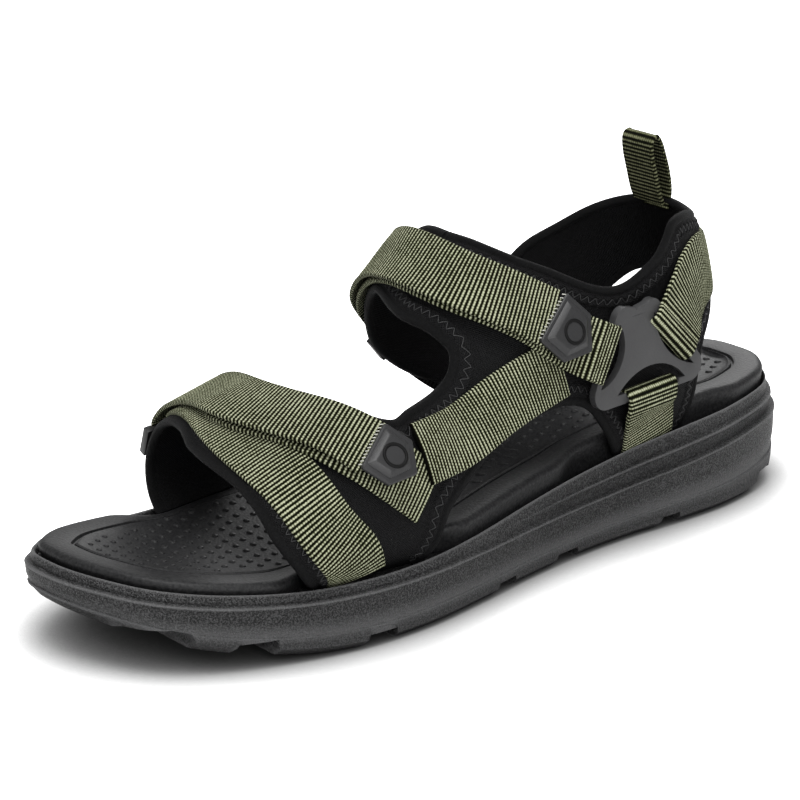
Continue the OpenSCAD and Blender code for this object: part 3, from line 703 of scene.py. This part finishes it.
def edge_trim(name, c, side):
    """Rolled binding along a free edge, a puckered band beside it and its zigzag thread."""
    fine = _resample(c, 0.45)
    d = np.gradient(fine, axis=0)
    qs, qa = across(fine[:, 0], fine[:, 1], d[:, 0], d[:, 1])
    qs, qa = side*qs, side*qa
    L = lengths(foot_at(fine[:, 0], fine[:, 1]))
    outward = foot_normal(fine[0, 0], fine[0, 1])
    half = slice(None, None, 2)
    t = np.arange(14) / 14 * TAU
    off, z = 0.9 + 1.7*np.cos(t), 0.95 + 1.45*np.sin(t)
    S, A = fine[half, 0, None] + qs[half, None]*off, fine[half, 1, None] + qa[half, None]*off
    n, m = S.shape
    V = skin(S, A, np.broadcast_to(z, S.shape)).reshape(-1, 3)
    F = facing(V, rod_faces(n, m), 3, outward)
    uv = np.stack(np.broadcast_arrays(L[half, None], t*1.6), -1).reshape(-1, 2)
    mesh_object(name + "_binding", V, F, binding, uv=uv)

    x = np.linspace(BAND_IN, BAND_OUT, 15)
    dist = np.abs(x[None, :] - zigzag(L)[:, None]) / np.sqrt(1 + (4*AMP / PITCH)**2)
    edge = np.clip(np.minimum(x - BAND_IN, BAND_OUT - x) / 1.3, 0, 1)
    edge = edge*edge*(3 - 2*edge)
    puff = PUFF*(1 - np.exp(-(dist / 0.55)**2))
    h = LINING_T - 0.12 + edge[None, :]*(0.12 + puff - 0.12*np.exp(-(dist / 0.3)**2))
    S, A = fine[:, 0, None] + qs[:, None]*x, fine[:, 1, None] + qa[:, None]*x
    V, F = sheet(skin(S, A, h), skin(S, A, np.full(S.shape, 1.2)), outward)
    mesh_object(name + "_stitched_band", V, F, lining, uv=sheet_uv(L, x))

    n = int(L[-1] / PITCH * 8)
    Lt = np.linspace(0.3, L[-1] - 0.3, n)
    fs, fa, ts, ta = (np.interp(Lt, L, v) for v in (fine[:, 0], fine[:, 1], qs, qa))
    xt = zigzag(Lt)
    C = skin(fs + ts*xt, fa + ta*xt, np.full(n, LINING_T + 0.12))
    V, F = tube(C, 0.21, 5, foot_normal(fs, fa))
    mesh_object(name + "_zigzag", V, F, thread_black)


def _resample(c, step):
    L = lengths(foot_at(c[:, 0], c[:, 1]))
    t = np.linspace(0, L[-1], int(L[-1] / step) + 1)
    return columns(np.column_stack([L, c]), t)


def turn(c, k=360):
    return c + [0, k]


SEAM_VS = line(OPEN_FRONT, (-43, 8), (-42, -8), WINDOW_FRONT)
SEAM_SI = line(WINDOW_TOP, (3.5, 18), OPEN_SIDE)
SEAM_IQ = line(WINDOW_TOP, QUARTER_TOP)
SEAM_IC = line(QUARTER_TOP, COLLAR_OUTER)
SEAM_QC = line(QUARTER_TOP, HEEL_OUTER)
SEAM_IM = line(OPEN_REAR, COLLAR_INNER)
SEAM_MC = line(COLLAR_INNER, HEEL_INNER)
ANKLE_START, ANKLE_END, COLLAR_OUTER_UP, HEEL_OUTER_UP = (14, 85), (14, 445), (47.4, 382.4), (46.7, 311.3)

lining_sheet("vamp_lining", cut("front", FRONT_OUTER, FRONT_INNER), line(FRONT_INNER, OPEN_INNER),
             cut("open", OPEN_INNER, OPEN_FRONT), SEAM_VS, line(WINDOW_FRONT, FRONT_OUTER))
lining_sheet("side_lining", cut("window", WINDOW_FRONT, WINDOW_TOP), SEAM_SI,
             cut("open", OPEN_SIDE, OPEN_FRONT), SEAM_VS)
lining_sheet("instep_lining", SEAM_SI, cut("open", OPEN_SIDE, OPEN_REAR), SEAM_IM,
             cut("ankle", COLLAR_INNER, ANKLE_START), cut("ankle", ANKLE_END, COLLAR_OUTER_UP, -360),
             SEAM_IC[::-1], SEAM_IQ[::-1])
lining_sheet("quarter_lining", cut("window", WINDOW_TOP, WINDOW_REAR), line(WINDOW_REAR, QUARTER_BASE),
             cut("heel", (36, 298), HEEL_OUTER_UP, -360), SEAM_QC[::-1], SEAM_IQ[::-1])
lining_sheet("heel_collar", cut("ankle", COLLAR_INNER, COLLAR_OUTER_UP), turn(SEAM_IC[::-1]), turn(SEAM_QC),
             cut("heel", HEEL_OUTER_UP, HEEL_INNER), SEAM_MC[::-1])
lining_sheet("medial_lining", cut("open", OPEN_REAR, MEDIAL_BASE), line(MEDIAL_BASE, (22, 222), HEEL_END),
             cut("heel", HEEL_END, HEEL_INNER), SEAM_MC[::-1], SEAM_IM[::-1])
for key, side in LINED_SIDE.items():
    edge_trim(key + "_edge", curves[key], side)

# ---------------- straps
for name, knots in (("vamp_webbing", VAMP_WEB), ("vamp_base_webbing", VAMP_BASE), ("side_webbing", SIDE_WEB)):
    ribbon(name, foot_rows(knots, X), X, TOP)

# buckle frame: u rearward, v up, w outward
BUCKLE = np.array([39.2, 57.5, 67.0])
YAW = np.radians(4.5)
BU, BV = np.array([-np.sin(YAW), np.cos(YAW), 0]), np.array([0, 0, 1.0])
BW = np.array([np.cos(YAW), np.sin(YAW), 0])


def buckle_at(u, v, w=0.0):
    return BUCKLE + u*BU + v*BV + w*BW


def bar_loop(centre, out, half=1.8, reach=6.5, rise=1.3, thick=1.45):
    """Points, sides and normals of a webbing's inner face, which comes in over a bar and turns round it."""
    prof = [(reach, rise - 0.5), (3.6, 1.2), (half, thick), (-half*0.55, thick + 0.05), (-half - 0.35, 0.8),
            (-half - 0.55, -0.5), (-half, -1.6), (0.4, -2.0)]
    e = out[0]*BU + out[1]*BV
    c = buckle_at(*centre)
    C = [c + p*e + q*BW for p, q in prof]
    nrm = [BW, BW, BW, BW, (BW - e), -e, -e - BW, -BW]
    side = out[1]*BU - out[0]*BV
    return C, [side]*len(C), nrm

def to_buckle(knots, centre, out, x=X, **kw):
    """Foot rows along knots, then straight rows on to a buckle bar."""
    B, N = foot_rows(knots, x)
    before = -1 - int(4/STEP)
    S0, S1 = (unit(B[r, -1] - B[r, 0]) for r in (-1, before))
    C, S, nn = bar_loop(centre, out, **kw)
    if np.dot(S0, S[0]) < 0:
        S = [-s for s in S]
    mid = B.shape[1] // 2
    B3, N3 = rows3d([B[-1 - int(3/STEP), mid], B[-1, mid]] + C, [S1, S0] + S, [N[-1, mid]]*2 + nn, x)
    cut_at = int(np.argmin(np.linalg.norm(B3[:, mid] - B[-1, mid], axis=1)))
    return joined([(B, N), (B3[cut_at:], N3[cut_at:])], ease=14)


def narrowed(rows, share, length=34.0):
    """Rows narrowed towards the first one, to a share of their width."""
    B, N = rows
    t = np.clip(np.arange(len(B))*STEP / length, 0, 1)
    w = share + (1 - share)*t*t*(3 - 2*t)
    C = B[:, B.shape[1] // 2][:, None]
    return C + (B - C)*w[:, None, None], N


# the webbing behind the buckle is wider than the rest
X_ANCHOR, X_HEEL = X*1.15, X*1.25
rows = to_buckle(INSTEP_WEB, (-18.9, 3.6), (-0.894, 0.447), half=1.1)
ribbon("instep_webbing", rows, X, TOP)
rows = to_buckle(ANCHOR_WEB, (3.0, -14.4), (0.03, -1.0), X_ANCHOR, half=1.3, reach=5.0, rise=1.0)
ribbon("anchor_webbing", rows, X_ANCHOR, TOP)
rows = to_buckle(HEEL_WEB, (12.7, 3.8), (0.70, 0.715), X_HEEL, half=1.7, reach=5.0, rise=1.6, thick=1.85)
ribbon("heel_webbing", narrowed(rows, 0.64), X_HEEL, TOP)
ribbon("medial_webbing", narrowed(foot_rows(MEDIAL_WEB, X), 0.8), X, TOP)


def hook_and_loop(key, knots):
    """Strap whose end turns round its ring, with the hook and loop tapes between the plies."""
    body = key + "_strap"
    B, N = rows = foot_rows(knots, X)
    B3, N3 = wrap = eye_rows(key, -12, 235, 0.0, rows, X)
    mid = B.shape[1] // 2
    centres = [B[-2, mid], B[-1, mid], (B[-1, mid] + B3[0, mid])/2, B3[0, mid]]
    sides = [unit(B[-1, -1] - B[-1, 0])]*3 + [unit(B3[0, -1] - B3[0, 0])]
    link, ln = rows3d(centres, sides, [N[-1, mid]]*2 + [N3[0, mid]]*2, X)
    ribbon(body, joined([rows, (link[1:], ln[1:]), wrap], ease=8), X, TOP, body=body)
    tape_x, tape_top = section(16.0, TAPE_T)
    for kind, h, rides in (("hook", L4, body), ("loop", L3, "shoe")):
        tape = foot_rows([(s, a, h) for s, a, _ in knots[1:6]], tape_x)
        name = f"{key}_{kind}_tape"
        ribbon(name, tape, tape_x, tape_top, hook, rides, slot=kind + "_tape", ribs=0.03, edge=False)


def ring_anchor(key, knots):
    """Sewn black webbing that holds a ring by its outer bar."""
    x = X*0.95
    rows = foot_rows(knots, x)
    wrap = eye_rows(key, 150, -190, RING_SPAN, rows, x)
    ribbon(key + "_ring_anchor_loop", wrap, x, TOP, black_web, replaces=(), slot="black_webbing", ribs=0.1)
    ribbon(key + "_ring_anchor", rows, x, TOP, black_web, slot="black_webbing", ribs=0.1)


hook_and_loop("vamp", VAMP_STRAP)
ring_anchor("vamp", VAMP_ANCHOR)
hook_and_loop("instep", INSTEP_STRAP)
ring_anchor("instep", INSTEP_ANCHOR)


# ---------------- pull tabs
def polygon_prism(rings):
    """Closed solid through stacked polygons of equal point count (each n x 3)."""
    n = len(rings[0])
    V = np.vstack(rings)
    F = []
    for k in range(len(rings) - 1):
        for i in range(n):
            a, b = k*n + i, k*n + (i + 1) % n
            F.append([a, b, b + n, a + n])
    F.append(list(range(n))[::-1])
    F.append([(len(rings) - 1)*n + i for i in range(n)])
    return V, F


def corners(poly):
    """Each corner of a polygon, between the corners before and after it."""
    P = np.asarray(poly, float)
    return [(P[i - 1], P[i], P[(i + 1) % len(P)]) for i in range(len(P))]


def rounded(poly, r, n=5):
    """Polygon with its corners rounded."""
    out = []
    for a, b, c in corners(poly):
        u, v = unit(a - b), unit(c - b)
        ang = np.arccos(np.clip(u @ v, -1, 1))
        d = min(r / np.tan(ang/2), 0.45*min(np.linalg.norm(a - b), np.linalg.norm(c - b)))
        p0, p1 = b + u*d, b + v*d
        for t in np.linspace(0, 1, n):
            out.append((1 - t)**2*p0 + 2*t*(1 - t)*b + t**2*p1)
    return np.array(out)


def shrunk(poly, d):
    """Polygon with its sides moved in by d."""
    out = []
    for a, b, c in corners(poly):
        u, v = unit(b - a), unit(c - b)
        n1, n2 = np.array([-u[1], u[0]]), np.array([-v[1], v[0]])
        m = unit(n1 + n2)
        out.append(b + m*d / max(0.35, m @ n1))
    return np.array(out)


# inset and height of each layer of a tab, the wide flange first and the raised face after it
FLANGE = [(0.2, 0.0), (0.0, 0.25), (0.0, 1.15), (0.25, 1.5), (0.6, 1.6)]
PLATEAU = [(0.0, 1.0), (0.0, 1.75), (1.5, 3.1), (1.8, 3.2), (2.3, 3.22)]
TAB_STITCHES = 13


def pull_tab(name, p, d, body, w, length):
    """Moulded tab that ends in a point, with a plain ring on its face painted near black as shade, and stitches
    across the strap's end.
    """
    o, ex, ey, ez = foot_frame(p, d, L6 - 0.3)
    side, lip = 0.6*length, 1.9
    base = [(-0.8, -w/2), (side, -w/2), (length, 0), (side, w/2), (-0.8, w/2)]
    face = [(0.35, -w/2 + lip), (side - 0.75, -w/2 + lip), (length - 2.7, 0), (side - 0.75, w/2 - lip),
            (0.35, w/2 - lip)]
    put = lambda poly, z: o + poly[:, :1]*ex + poly[:, 1:]*ey + z*ez
    sh = Shells()
    for outline, layers, radius in ((base, FLANGE, 1.2), (face, PLATEAU, 0.7)):
        V, F = polygon_prism([put(rounded(shrunk(outline, inset), radius), z) for inset, z in layers])
        sh.add(V, oriented(V, F))
    sh.make(name, tab_rubber, body, "tab_rubber", replaces=(name,), angle=28)
    t = np.arange(48)/48*TAU
    c = o + 0.42*length*ex
    ring = c + 3.7*np.cos(t)[:, None]*ex + 3.7*np.sin(t)[:, None]*ey + 3.2*ez
    V, F = tube(ring, 0.6, 8, ez, closed=True, squash=0.7)
    # the ring is painted near black as shade
    mesh_object(name + "_grip_ring", V, F, tab_ring_shade, body, "tab_rubber")
    st = Shells()
    for y in -w/2 + 1.0 + np.arange(TAB_STITCHES)*(w - 2)/(TAB_STITCHES - 1):
        a = o + (-1.6)*ex + y*ey + 0.1*ez
        b = o + (-0.2)*ex + (y + 0.7)*ey + 0.35*ez
        pts = np.array([a, (a*2 + b)/3 + 0.35*ez, (a + 2*b)/3 + 0.35*ez, b])
        st.add(*tube(pts, 0.2, 5, ey))
    st.make(name + "_stitches", thread_pale, body, "webbing")


pull_tab("vamp_tab", (-54.4, 20.8), (6.3, -10.2), "vamp_strap", 18.0, 15.8)
pull_tab("instep_tab", (20.6, 35.6), (3.2, -11.6), "instep_strap", 19.4, 17.7)

# ---------------- sole
# widest outline, from the toe round the outer side
OUTLINE = np.array([[-16, -145], [-3, -144], [11, -139], [25, -130.5], [37, -115], [46, -92], [51, -67],
    [51, -42], [47, -18], [41.5, 7], [37.5, 32], [36, 57], [36.5, 82], [35, 106], [27.5, 130], [14, 142.5],
    [0, 145], [-14, 142.5], [-27, 131], [-34.5, 107], [-34.5, 82], [-34, 57], [-35, 32], [-38.5, 7],
    [-42, -17], [-46, -42], [-47.5, -67], [-45.5, -92], [-43, -112], [-38, -128], [-29.5, -139],
    [-23.5, -143.5]], float)
# station, then the heights of the tread, its wall, the lip and the top
LEVELS = np.array([[-145, 17.2, 26.4, 30.4, 33.9], [-120, 8.3, 22.5, 26.4, 29.4],
    [-90, 2.2, 19.4, 23, 26.1], [-64, 0, 18.6, 22.3, 26.8], [-30, 0, 18.3, 23, 28.4],
    [0, 0, 17.8, 25, 31.8], [40, 0, 18.4, 29, 36], [80, 0, 21.2, 33.5, 39.9], [115, 0, 24.8, 36, 41.6],
    [145, 5.3, 27.1, 37.4, 42.4]], float)
# transverse grooves of the tread: station, width, height of the tread there
GROOVES = [(-128, 15, 11), (-103, 12.5, 5), (-61.5, 11.5, 0.3), (-4.5, 9.5, 0), (26.5, 11, 0), (75, 9, 0),
           (127, 11, 2.5)]
GROOVE_DEPTH = 4.3
SUB = 16
TREAD_SHARE = 0.4
RN = len(OUTLINE)*SUB


def rim_at(x):
    k = len(OUTLINE)
    i = np.floor(x).astype(int)
    t = (x - i)[:, None]
    g = lambda j: OUTLINE[j % k]
    return hermite(g(i), g(i + 1), (g(i + 1) - g(i - 1))/2, (g(i + 2) - g(i))/2, t)


RX = np.arange(RN) / SUB
RP = rim_at(RX)
_d = rim_at(RX + 0.35) - rim_at(RX - 0.35)
RQ = unit(np.column_stack([-_d[:, 1], _d[:, 0]]))


def bump(y, a, b):
    """Rises smoothly from 0 at a to 1 and falls back to 0 at b."""
    return ease_in(np.minimum((y - a)/16, (b - y)/16))


def ease_in(f):
    f = np.clip(f, 0, 1)
    return f*f*(3 - 2*f)


def strap_room():
    """How much further in the footbed's edge runs where linings and webbing go down beside it."""
    x, y = RP[:, 0], RP[:, 1]
    outer = np.maximum(7*bump(y, -98, -20), 4.2*bump(y, 24, 114))
    inner = np.maximum(9*bump(y, -104, -24), 4.2*bump(y, 4, 114))
    return np.where(x > 0, outer, inner)


ROOM = strap_room()


def level(c, y):
    return along(LEVELS, c, y)


def ring(inset, room=0.0, z=1, z2=None, mix=0.0, drop=0.0, floor=-1.0):
    """Ring of points at an inset from the widest line; z and z2 are level columns blended by mix."""
    r = RP + RQ*(inset + room*ROOM)[:, None]
    zz = level(z, r[:, 1])
    if z2 is not None:
        zz = zz*(1 - mix) + level(z2, r[:, 1])*mix
    return np.column_stack([r, np.maximum(zz + drop, floor)])


def ladder(points, cells):
    """Grid of points across a ring from each point to the one opposite it: (rows, cells + 1, 3)."""
    i = np.arange(1, RN//2)
    a, b = points[i], points[RN - i]
    t = np.linspace(0, 1, cells + 1)[None, :, None]
    return a[:, None]*(1 - t) + b[:, None]*t


def loft(rings, cells=2, top_shape=None):
    """Closed body through rings, with ladder caps below and above."""
    n = RN
    V = [np.vstack(rings)]
    F = wall_faces(len(rings), n)
    count = len(rings)*n
    for k, up in ((0, False), (len(rings) - 1, True)):
        c = cells if up else 2
        G = ladder(rings[k], c)
        if up and top_shape is not None:
            G = top_shape(G)
        inner = G[:, 1:-1]
        rows = G.shape[0]
        V.append(inner.reshape(-1, 3))
        idx = np.empty((rows, c + 1), int)
        idx[:, 0] = k*n + np.arange(1, n//2)
        idx[:, -1] = k*n + n - np.arange(1, n//2)
        idx[:, 1:-1] = count + np.arange(rows*(c - 1)).reshape(rows, c - 1)
        count += rows*(c - 1)
        q = np.stack([idx[:-1, :-1], idx[1:, :-1], idx[1:, 1:], idx[:-1, 1:]], -1).reshape(-1, 4).tolist()
        q += [[k*n, idx[0, j], idx[0, j + 1]] for j in range(c)]
        q += [[k*n + n//2, idx[-1, j + 1], idx[-1, j]] for j in range(c)]
        F += [f[::-1] for f in q] if up else q
    V = np.vstack(V)
    return V, oriented(V, F)


# footbed: pillow edge, a fine groove and a dished panel, as inset, level column and drop
BED = [(5.2, 2, 1.4), (4.5, 4, -3.4), (4.25, 4, -2.4), (4.3, 4, -1.5), (4.7, 4, -0.8), (5.4, 4, -0.3),
       (6.4, 4, -0.05), (8.5, 4, 0.05), (13.6, 4, 0.0), (14.2, 4, -0.15), (14.5, 4, -1.2), (15.1, 4, -1.3),
       (15.5, 4, -0.4), (16.2, 4, -0.1)]


def bed_room(inset):
    return 1.0 if inset < 9 else max(0.0, (19 - inset)/10)


def dished(G):
    """Grid sunk towards the middle of the foot, and less towards the toe and the heel."""
    rows, columns = G.shape[:2]
    f = np.sin(np.pi*np.linspace(0, 1, columns))**0.6
    e = np.minimum(np.arange(rows), rows - 1 - np.arange(rows)) / 14
    G = G.copy()
    G[..., 2] += -1.4*f[None, :]*np.clip(e, 0, 1)[:, None]**0.7
    return G


# nubs by zone from the toe: the zone's end, spacing across and along, half width and length, height, turn (rad)
NUB_ZONES = [(-104, 4.8, 4.2, 1.0, 0.75, 0.45, 0.6), (-38, 5.6, 4.8, 1.25, 1.1, 0.55, 0),
             (28, 7.6, 5.0, 2.6, 0.7, 0.5, 0.45), (134, 5.8, 5.0, 1.4, 1.1, 0.6, 0.5)]
NUB_START = -124.0
NUB_SIDES = 12
NUB_PROFILE = [(1.15, -0.4), (1.0, 0.0), (0.86, 0.5), (0.62, 0.83), (0.3, 0.98)]


def nub(x0, y0, z0, rx, ry, height, tilt):
    """Low dome that stands on the footbed at a point."""
    n = NUB_SIDES
    t = np.arange(n)/n*TAU
    c, s = np.cos(tilt), np.sin(tilt)
    rings = []
    for f, q in NUB_PROFILE:
        lx, ly = f*rx*np.cos(t), f*ry*np.sin(t)
        z = z0 + (q*height if q > 0 else q)
        rings.append(np.column_stack([x0 + lx*c - ly*s, y0 + lx*s + ly*c, np.full(n, z)]))
    top = (len(rings) - 1)*n
    pairs = [(i, (i + 1) % n) for i in range(n)]
    F = [[k + i, k + j, k + n + j, k + n + i] for k in range(0, top, n) for i, j in pairs]
    F += [[top + i, top + j, top + n] for i, j in pairs] + [list(range(n))[::-1]]
    return np.vstack(rings + [[[x0, y0, z0 + height]]]), F


def make_footbed():
    V, F = loft([ring(inset, bed_room(inset), z, drop=drop) for inset, z, drop in BED], 40, dished)
    tree = BVHTree.FromPolygons([tuple(v) for v in V], F)
    bed = Shells()
    bed.add(V, F)
    panel = ring(19.0, 0, 4)[:, :2]
    row, y = 0, NUB_START
    while y < NUB_ZONES[-1][0]:
        _, px, py, *shape = next(z for z in NUB_ZONES if y < z[0])
        xs = np.arange(-60, 60, px) + (px/2 if row % 2 else 0)
        pts = np.column_stack([xs, np.full(len(xs), y)])
        for x0, y0 in pts[inside(panel, pts)]:
            hit = tree.ray_cast(Vector((x0, y0, 90)), Vector((0, 0, -1)))
            if hit[0] is not None:
                bed.add(*nub(x0, y0, hit[0][2], *shape))
        y += py
        row += 1
    bed.make("footbed", eva, "shoe", "footbed_foam", replaces=("footbed",), angle=35)


make_footbed()

# midsole: ridges and ledges that grow from the arch to the heel
GROW = ease_in((RP[:, 1] + 25)/110)


def side_ring(inset, f, drop):
    r = RP + RQ*inset[:, None]
    z2, z3 = level(2, r[:, 1]), level(3, r[:, 1])
    return np.column_stack([r, z2 + (z3 - z2)*f + drop])


# the lip over the side wall, the step above it and the rounded top edge
# inset at the toe, its growth to the heel, share of the height from lip to top, drop, growth of the drop
STEPS = [(-0.25, -0.05, 0, -0.6, 0), (-0.35, -0.05, 0, -0.15, 0), (-0.15, 0, 0, 0.25, 0),
         (1.35, 0.35, 0, 0.7, 0), (1.6, 0.3, 0.14, 0.2, 0), (1.65, 0.1, 0.42, 0, -0.4),
         (1.7, -0.7, 0.46, 0, 0), (1.7, -0.6, 0.49, 0, 0.3), (1.75, 0.95, 0.52, 0, 0.7),
         (1.85, 0.95, 0.74, 0, 0), (2.0, 0.9, 0.88, 0, 0), (2.2, 0.8, 0.97, 0, 0), (2.6, 0.6, 1, 0, 0),
         (3.0, 0.45, 1, -0.25, 0), (3.35, 0.35, 0.95, -0.9, 0), (3.4, 0.3, 0, 1.2, 0)]
mid_rings = [ring(0.8, 0, 1, 2, TREAD_SHARE, 0.02)]
mid_rings += [ring(inset, 0, 1, 2, mix) for inset, mix in ((0.05, 0.62), (-0.1, 0.8), (-0.1, 0.93))]
mid_rings += [side_ring(inset + more*GROW, share, drop + rise*GROW)
              for inset, more, share, drop, rise in STEPS]
V, F = loft(mid_rings)
mesh_object("midsole", V, F, mid_rubber, "shoe", "midsole_foam", ("midsole",), angle=32)

# outsole: chamfered lugs, transverse channels and a patterned tread
V, F = loft([ring(4.4, floor=0.0), ring(3.4, drop=0.25, floor=0.25), ring(0.9, drop=2.6, floor=2.6),
             ring(0.5, 0, 1, 2, 0.2, 0.8), ring(0.3, 0, 1, 2, TREAD_SHARE, -0.5),
             ring(0.75, 0, 1, 2, TREAD_SHARE)])
outsole = mesh_object("outsole", V, F, out_rubber, "shoe", "outsole_rubber", ("outsole",), angle=30)


def cutter(name, solids):
    sh = Shells()
    for V, F in solids:
        sh.add(V, oriented(V, F))
    me = bpy.data.meshes.new(name)
    me.from_pydata((np.vstack(sh.v)*MM).tolist(), [], sh.f)
    return linked(name, me)


def carve(target, tool):
    m = target.modifiers.new("cut", "BOOLEAN")
    m.operation, m.object, m.solver = "DIFFERENCE", tool, "EXACT"
    dg = bpy.context.evaluated_depsgraph_get()
    me = bpy.data.meshes.new_from_object(target.evaluated_get(dg))
    target.modifiers.clear()
    old = target.data
    target.data = me
    bpy.data.meshes.remove(old)
    bpy.data.objects.remove(tool)


def channel(y, width, roof):
    """Transverse trapezoid channel, open below; its points along x keep the cut faces short."""
    half, flare = width/2, width/2 + 1.2
    outline = [(-flare, -9), (-flare, -3.4), (-half, 0), (half, 0), (flare, -3.4), (flare, -9)]
    return polygon_prism([np.array([[x, y + across_y, roof + dz] for across_y, dz in outline])
                          for x in np.linspace(-62.0, 62.0, 9)])


def sipe(y, side):
    """Thin slanted slot in the tread on one side of the middle."""
    base = float(level(1, np.array([y + 4.0]))[0])
    a, b = np.array([side*6.5, y]), np.array([side*27.0, y + 7.0])
    d = unit(b - a)
    n = np.array([-d[1], d[0]])*0.9
    V = np.array([np.append(p + k*n, z) for p in (a, b) for k in (-1, 1) for z in (base - 3, base + 1.6)])
    return V, [[0, 1, 3, 2], [4, 6, 7, 5], [0, 4, 5, 1], [2, 3, 7, 6], [0, 2, 6, 4], [1, 5, 7, 3]]


carve(outsole, cutter("channels", [channel(y, w - 1.6, z + GROOVE_DEPTH) for y, w, z in GROOVES]))
sipe_stations = [y for y in np.arange(-112, 122, 11.0) if min(abs(y + 4 - g[0]) for g in GROOVES) >= 9]
carve(outsole, cutter("sipes", [sipe(y, side) for y in sipe_stations for side in (-1, 1)]))
shade_smooth(outsole.data, 30)


# ---------------- hardware kept from the CAD, edges softened
def soften(node, mat, width):
    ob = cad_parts[node]
    ob.data.materials.clear()
    ob.data.materials.append(mat)
    weld = ob.modifiers.new("weld", "WELD")
    weld.merge_threshold = 0.00001
    bv = ob.modifiers.new("soft", "BEVEL")
    bv.width, bv.segments, bv.limit_method, bv.angle_limit = width*MM, 3, "ANGLE", np.radians(40)
    bv.harden_normals = False
    shade_smooth(ob.data, 60)


soften("buckle", plastic, 0.55)
for key in RINGS:
    soften(key + "_ring", ring_plastic, 0.3)

# ---------------- heel pull loop
# rearward and upward from the seam at the top of the collar, up the inner ply and down the outer one
LOOP = np.array([-3, 102, 102.2])
LOOP_LINE = [(0.6, -3.0), (1.8, 3.0), (0.8, 10), (-1.4, 17), (-3.2, 21.4), (-4.8, 23.0), (-6.4, 21.8),
             (-6.2, 17), (-4.4, 10), (-2.4, 3), (-0.6, -0.8)]
PX, PT = section(14.8, WEB_T, 9)
C = [LOOP + np.array([-2.0, p, q]) for p, q in LOOP_LINE]
SIDEWAYS = np.array([1.0, 0, 0])
nrm = np.cross(SIDEWAYS, unit(np.gradient(np.array(C), axis=0)))
if nrm[0][1] < 0:
    nrm = -nrm
B, N = rows3d(C, [SIDEWAYS]*len(C), nrm, PX)
ribbon("pull_loop", (B - 0.2*N, N), PX, PT, shaded_loop_webbing, "pull_loop")

# ---------------- floor, light and camera
FLOOR_PALE, FLOOR_SHADE = grey(0.92), grey(0.03)
bpy.ops.mesh.primitive_plane_add(size=12, location=(0, 0, 0))
floor = bpy.context.object
floor.name = "floor"
fm = Mat("floor_pale", FLOOR_PALE, 0.9, 0.1)
# ambient occlusion darkens the floor's colour and its glow for camera rays near the shoe: a painted contact
# shadow
occlusion = fm.node("ShaderNodeAmbientOcclusion", Distance=0.04)
near = fm.math("POWER", occlusion.outputs["AO"], 2.4)
fm.color(fm.mix(near, FLOOR_SHADE, FLOOR_PALE))
camera_ray = fm.node("ShaderNodeLightPath").outputs["Is Camera Ray"]
fm.b.inputs["Emission Color"].default_value = (1, 1, 1, 1)
fm.l.new(fm.math("MULTIPLY", near, camera_ray), fm.b.inputs["Emission Strength"])
floor.data.materials.append(fm.m)

world = bpy.data.worlds.new("studio")
bpy.context.scene.world = world
world.use_nodes = True
wn, wl = world.node_tree.nodes, world.node_tree.links
wn["Background"].inputs[0].default_value = (1, 1, 1, 1)
# the backdrop looks white, and lights the shoe with half of that
seen, glow = wn.new("ShaderNodeLightPath"), wn.new("ShaderNodeMix")
glow.inputs[2].default_value, glow.inputs[3].default_value = 0.5, 1.0
wl.new(seen.outputs["Is Camera Ray"], glow.inputs[0])
wl.new(glow.outputs[0], wn["Background"].inputs[1])


def area(name, loc, target, size, power):
    """Round soft light; places and size are in metres and power is in watts."""
    li = bpy.data.lights.new(name, "AREA")
    li.shape, li.size, li.energy = "DISK", size, power
    ob = linked(name, li)
    ob.location = loc
    ob.rotation_euler = (Vector(target) - Vector(loc)).to_track_quat("-Z", "Y").to_euler()


area("key", (0.2, -0.25, 1.45), (0, -0.03, 0.05), 0.9, 20)
area("rim", (-0.9, 1.1, 0.8), (0, 0, 0.06), 0.6, 7)
area("front", (1.2, -0.5, 0.6), (0, 0, 0.05), 0.8, 10)

# camera: azimuth, elevation and roll, distance and target in mm, sensor and lens in mm
AZ, EL, ROLL, DIST = np.radians(51.33), np.radians(19.07), np.radians(-0.68), 1017.4
TARGET = np.array([-13.5, -2.8, 50.0])
back = np.array([np.sin(AZ)*np.cos(EL), -np.cos(AZ)*np.cos(EL), np.sin(EL)])
right = np.array([np.cos(AZ), np.sin(AZ), 0])
up = np.cross(back, right)
cr, cu = right*np.cos(ROLL) + up*np.sin(ROLL), up*np.cos(ROLL) - right*np.sin(ROLL)
cam = bpy.data.cameras.new("camera")
cam.sensor_width, cam.lens = 36.0, 138.44
cam.clip_start, cam.clip_end = 0.01, 50
co = linked("camera", cam)
M = Matrix.Identity(4)
for i in range(3):
    M[i][0], M[i][1], M[i][2], M[i][3] = cr[i], cu[i], back[i], (TARGET + back*DIST)[i]*MM
co.matrix_world = M
bpy.context.scene.camera = co
bpy.context.scene.view_settings.view_transform = "Standard"
